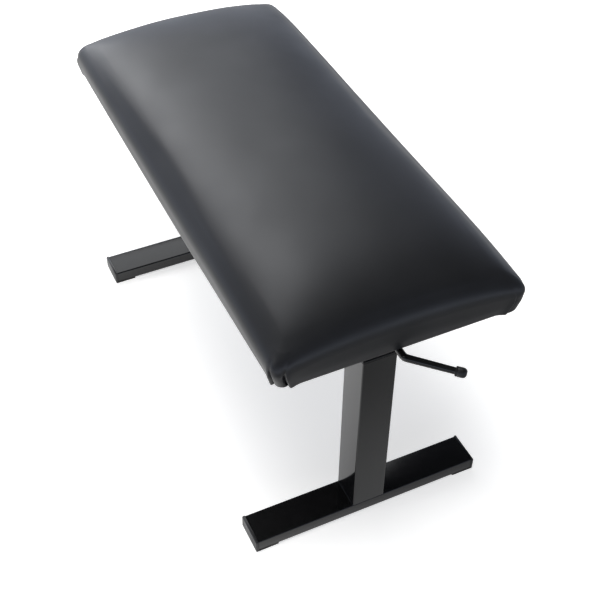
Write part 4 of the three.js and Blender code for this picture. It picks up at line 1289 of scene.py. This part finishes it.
def camPlate():
    # the lobe grows over the lever's turn, holds, and falls back to the hub
    turnTo, hold = math.radians(lever["camTurn"]), math.radians(lever["camHold"])
    start, span = (math.radians(turn) for turn in lever["hubTurn"])
    radius, rise = lever["camRadius"], lever["camRise"]
    edge = [(turnTo * step / 12, radius + rise * step / 12) for step in range(13)]
    edge += [(turnTo + hold * step / 4, radius + rise) for step in range(1, 5)]
    edge += [(start + span * step / 16, lever["hub"]) for step in range(17)]
    points = [(-size * math.sin(turn), -size * math.cos(turn)) for turn, size in edge]
    return plate(points, [], lever["camWidth"], 0.0005)


def makeLever():
    length, radius, bore, edge = (grip[key] for key in ("length", "radius", "bore", "edge"))
    tip = Vector(((gripLow.x + gripHigh.x) / 2, (gripLow.y + gripHigh.y) / 2, 0)) + leverOut * length / 2
    parts = [sweepRound(leverPath(tip), lever["radius"], lever["sides"])]
    inside = lever["radius"] - lever["beadDepth"]
    for end in ends:
        parts.append(moved(camPlate(), legX[end], turn=alongBench))
        for side in (-1, 1):
            bead = latheRing([(inside + out, z) for out, z in lever["bead"]])
            at = legX[end] + side * (lever["camWidth"] / 2 + lever["beadDepth"])
            parts.append(moved(bead, at, turn=turnAbout("Y", 90 * side)))
    finishPiece("lever_shaft", moved(merged(*parts), z=leverZ), "lever", "black_paint", ["lever_rod"])
    endRadius, endDrop = grip["end"]
    profile = [(0, grip["boreDepth"]), (bore, grip["boreDepth"]), (bore, grip["boreEdge"]),
               (bore + grip["boreEdge"], 0.0), (radius - edge, 0.0), (radius, edge)]
    profile += [(radius - depth, z) for depth, z in grip["groove"]]
    profile += dome(grip["dome"], length, radius - grip["dome"])
    profile += [(endRadius, length - endDrop), (0, length)]
    aim = leverOut.to_track_quat("Z", "Y").to_matrix().to_4x4()
    start = tip - leverOut * length
    moulding = moved(lathe(profile, 40), start.x, start.y, leverZ, aim)
    finishPiece("lever_tip", moulding, "lever", "black_plastic", ["lever_grip"])


def makeClips():
    half, edge, rounding = clip["half"], clip["edge"], clip["rounding"]
    for place in ("near", "middle", "far"):
        node = f"lever_clip_{place}"
        low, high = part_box(node)
        top, bottom, wing = high.z - leverZ, low.z - leverZ, halfSize(node)[1]
        under = top - clip["wing"]
        left = [(-wing, top), (-wing, under + edge), (-wing + edge, under), (-half - clip["foot"], under),
                (-half - edge, under - edge)]
        left += arc(-half + rounding, bottom + rounding, rounding, math.pi, 1.5 * math.pi, 8)
        outline = left + [(-y, z) for y, z in reversed(left)]
        saddle = plate(outline, [circle(0, 0, grip["bore"])], high.x - low.x, 0.0005)
        x = (low.x + high.x) / 2
        saddle = moved(saddle, x, 0, leverZ, alongBench)
        finishPiece(f"{node}_saddle", saddle, "seat", "black_plastic", [node])
        for hand, side in hands.items():
            at = (x, side * clip["screwPlace"], leverZ + under)
            screwPiece(f"{node}_screw_{hand}", at, clip["screw"], clip["screwDepth"])


pushRod = {"radius": 0.003, "edge": 0.0004, "collar": 0.002, "collarEdge": 0.0003}


def makePushRod():
    low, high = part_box("far_push_rod")
    radius, edge, collarEdge = pushRod["radius"], pushRod["edge"], pushRod["collarEdge"]
    wide, top = halfSize("far_push_rod")[0], high.z - radius
    bottom = top - pushRod["collar"]
    profile = [(0, low.z), (radius - edge, low.z), (radius, low.z + edge), (radius, bottom),
               (wide - collarEdge, bottom), (wide, bottom + collarEdge), (wide, top - collarEdge),
               (wide - collarEdge, top), *dome(radius, high.z), (0, high.z)]
    rod = moved(lathe(profile, 32), legX["far"])
    finishPiece("far_push_rod_steel", rod, "push_rod", "zinc_steel", ["far_push_rod"])


makeLever()
makeClips()
makePushRod()
print("stage: lever made")


# Finishes of the frame's own pieces that stay in view

carried = {
    "head_plate": "zinc_steel", "rod_nut": "zinc_steel", "gas_cylinder": "black_paint",
    "gas_rod": "polished_rod", "glide": "nylon", "pivot_bush_left": "nylon", "pivot_bush_right": "nylon",
}
for end in ends:
    for part, slot in carried.items():
        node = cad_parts[f"{end}_{part}"]
        node.data.materials.clear()
        node.data.materials.append(looks[slot])
        edges = node.modifiers.new("Bevel", "BEVEL")
        edges.width = 0.0003
        edges.segments = 2
        edges.limit_method = "ANGLE"
        edges.angle_limit = math.radians(40)
print("stage: frame finished")


# Studio

studio = {
    "floorSize": 9.0, "floorColour": (0.80, 0.79, 0.765), "floorGlow": 0.57, "mirrorGlow": 0.50,
    "shadeMiddle": (-0.12, 0.05, 0.0), "shadeReach": (0.34, 0.95),  # the floor's glow is dimmest round here, where the bench's cast shadow shows; outside it the glow alone makes the floor plain white, painted light over any shadow there
    "farGlow": 0.32, "farReach": (0.16, 0.62), "farSlant": 0.5,  # the mirrored floor darkens far away
}
lamps = {  # place, target, size in metres, energy in watts, colour, and whether polished faces mirror it
    "strip softbox": ((-1.70, -0.34, 1.80), (0, 0, 0.45), (0.62, 2.5), 27, (0.97, 0.98, 1.0), True),
    "broad softbox": ((-1.70, 0.50, 1.90), (0, 0, 0.45), (1.1, 1.5), 9, (0.96, 0.98, 1.0), True),
    "overhead softbox": ((0.25, -0.42, 2.6), (0, 0, 0.3), (1.3, 1.3), 40, (1, 1, 1), False),
    "left softbox": ((0.1, -1.80, 1.9), (0.25, 0, 0.4), (0.5, 0.5), 3.5, (1, 1, 1), True),
}


def makeFloor():
    half = studio["floorSize"]
    floor = newObject("floor", bpy.data.meshes.new("floor"))
    corners = [(-half, -half, 0), (half, -half, 0), (half, half, 0), (-half, half, 0)]
    floor.data.from_pydata(corners, [], [(0, 1, 2, 3)])
    material = bpy.data.materials.new("white floor")
    material.use_nodes = True
    tree = material.node_tree
    tree.nodes.clear()
    rays = addNode(tree, "ShaderNodeLightPath").outputs
    position = addNode(tree, "ShaderNodeNewGeometry").outputs["Position"]
    place = addNode(tree, "ShaderNodeSeparateXYZ", {0: position})
    slanted = mathNode(tree, "MULTIPLY", place.outputs["Y"], studio["farSlant"])
    across = mathNode(tree, "ADD", place.outputs["X"], slanted)
    start, stop = studio["farReach"]
    fall = addNode(tree, "ShaderNodeMapRange", {
        "Value": across, "From Min": start, "From Max": stop, "To Min": 1.0, "To Max": studio["farGlow"],
    }, interpolation_type="SMOOTHSTEP")
    mirrored = mathNode(tree, "MULTIPLY", rays["Is Glossy Ray"], fall.outputs["Result"])
    direct = mathNode(tree, "SUBTRACT", 1.0, rays["Is Glossy Ray"])
    level = mathNode(tree, "ADD", direct, mirrored)
    tint = addNode(tree, "ShaderNodeVectorMath", {0: studio["floorColour"], "Scale": level},
                   operation="SCALE")
    diffuse = addNode(tree, "ShaderNodeBsdfDiffuse", {"Color": tint.outputs[0]})
    seen = mathNode(tree, "MAXIMUM", rays["Is Camera Ray"], rays["Is Transmission Ray"])
    # painted light on the floor: for camera rays its glow rises from floorGlow round shadeMiddle to plain
    # white further out, which pales the cast shadows there
    reach = addNode(tree, "ShaderNodeVectorMath", {0: position, 1: studio["shadeMiddle"]},
                    operation="DISTANCE")
    start, stop = studio["shadeReach"]
    outer = addNode(tree, "ShaderNodeMapRange", {
        "Value": reach.outputs["Value"], "From Min": start, "From Max": stop,
        "To Min": studio["floorGlow"], "To Max": 1.0,
    })
    strength = mathNode(tree, "ADD", mathNode(tree, "MULTIPLY", seen, outer.outputs["Result"]),
                        mathNode(tree, "MULTIPLY", mirrored, studio["mirrorGlow"]))
    glow = addNode(tree, "ShaderNodeEmission", {"Strength": strength})
    both = addNode(tree, "ShaderNodeAddShader", {0: diffuse.outputs[0], 1: glow.outputs[0]})
    addNode(tree, "ShaderNodeOutputMaterial", {"Surface": both.outputs[0]})
    floor.data.materials.append(material)


backdrop = {
    "lean": {"behind": 0.22, "ahead": -0.20, "aside": 0.12},  # the lit band is higher or lower on some sides
    "horizon": (1.15, 1.25, 1.45), "ceiling": (0.03, 0.03, 0.03), "cast": (0.8, 0.9, 1.2),
    "bands": ((0.08, 1.15), (0.17, 0.25), (0.32, 0.08), (0.60, 0.04)),  # height and level
}


def makeWorld():
    # a lit backdrop round the horizon and a dark ceiling
    world = bpy.data.worlds.new("studio")
    bpy.context.scene.world = world
    world.use_nodes = True
    tree = world.node_tree
    tree.nodes.clear()
    place = addNode(tree, "ShaderNodeTexCoord").outputs["Generated"]
    axes = addNode(tree, "ShaderNodeSeparateXYZ", {0: place})
    shares = {
        "behind": mathNode(tree, "MINIMUM", axes.outputs["X"], 0.0),
        "ahead": mathNode(tree, "MAXIMUM", axes.outputs["X"], 0.0),
        "aside": mathNode(tree, "MAXIMUM", axes.outputs["Y"], 0.0),
    }
    height = axes.outputs["Z"]
    for direction, weight in backdrop["lean"].items():
        height = mathNode(tree, "ADD", height, mathNode(tree, "MULTIPLY", shares[direction], weight))
    ramp = addNode(tree, "ShaderNodeValToRGB", {0: height})
    stops = ramp.color_ramp.elements
    stops[0].position, stops[0].color = 0.0, (*backdrop["horizon"], 1)
    stops[1].position, stops[1].color = 1.0, (*backdrop["ceiling"], 1)
    for position, level in backdrop["bands"]:
        stops.new(position).color = (*(level * share for share in backdrop["cast"]), 1)
    seen = addNode(tree, "ShaderNodeLightPath").outputs["Is Camera Ray"]
    mixed = addNode(tree, "ShaderNodeMix", {0: seen, 6: ramp.outputs["Color"], 7: (1, 1, 1, 1)},
                    data_type="RGBA")
    sky = addNode(tree, "ShaderNodeBackground", {"Color": mixed.outputs[2], "Strength": 1.0})
    addNode(tree, "ShaderNodeOutputWorld", {"Surface": sky.outputs[0]})


def addLamp(name, place, target, size, energy, colour, mirrored):
    data = bpy.data.lights.new(name, "AREA")
    data.shape = "RECTANGLE"
    data.size, data.size_y = size
    data.energy = energy
    data.color = colour
    lamp = newObject(name, data)
    lamp.location = place
    lamp.rotation_mode = "QUATERNION"
    lamp.rotation_quaternion = (Vector(target) - Vector(place)).to_track_quat("-Z", "Y")
    lamp.visible_glossy = mirrored


view = {
    "fromNearLeg": (0.8578, -0.5182, 1.3541), "lens": 67.5,
    "azimuth": 64.14, "elevation": 43.777, "roll": 0.789,
}


def makeCamera():
    data = bpy.data.cameras.new("camera")
    data.lens = view["lens"]
    data.sensor_width = 36
    data.clip_start, data.clip_end = 0.05, 60
    camera = newObject("camera", data)
    azimuth, elevation, roll = (math.radians(view[key]) for key in ("azimuth", "elevation", "roll"))
    back = Vector((math.sin(azimuth) * math.cos(elevation), -math.cos(azimuth) * math.cos(elevation),
                   math.sin(elevation)))
    right = Vector((0, 0, 1)).cross(back).normalized()
    up = back.cross(right)
    rolledRight = right * math.cos(roll) + up * math.sin(roll)
    rolledUp = up * math.cos(roll) - right * math.sin(roll)
    turned = Matrix((rolledRight, rolledUp, back)).transposed()
    place = Vector(view["fromNearLeg"]) + Vector((legX["near"], 0, 0))
    camera.matrix_world = Matrix.Translation(place) @ turned.to_4x4()
    bpy.context.scene.camera = camera


makeFloor()
makeWorld()
for name, settings in lamps.items():
    addLamp(name, *settings)
makeCamera()
bpy.context.scene.view_settings.view_transform = "Standard"
print("stage: studio made")
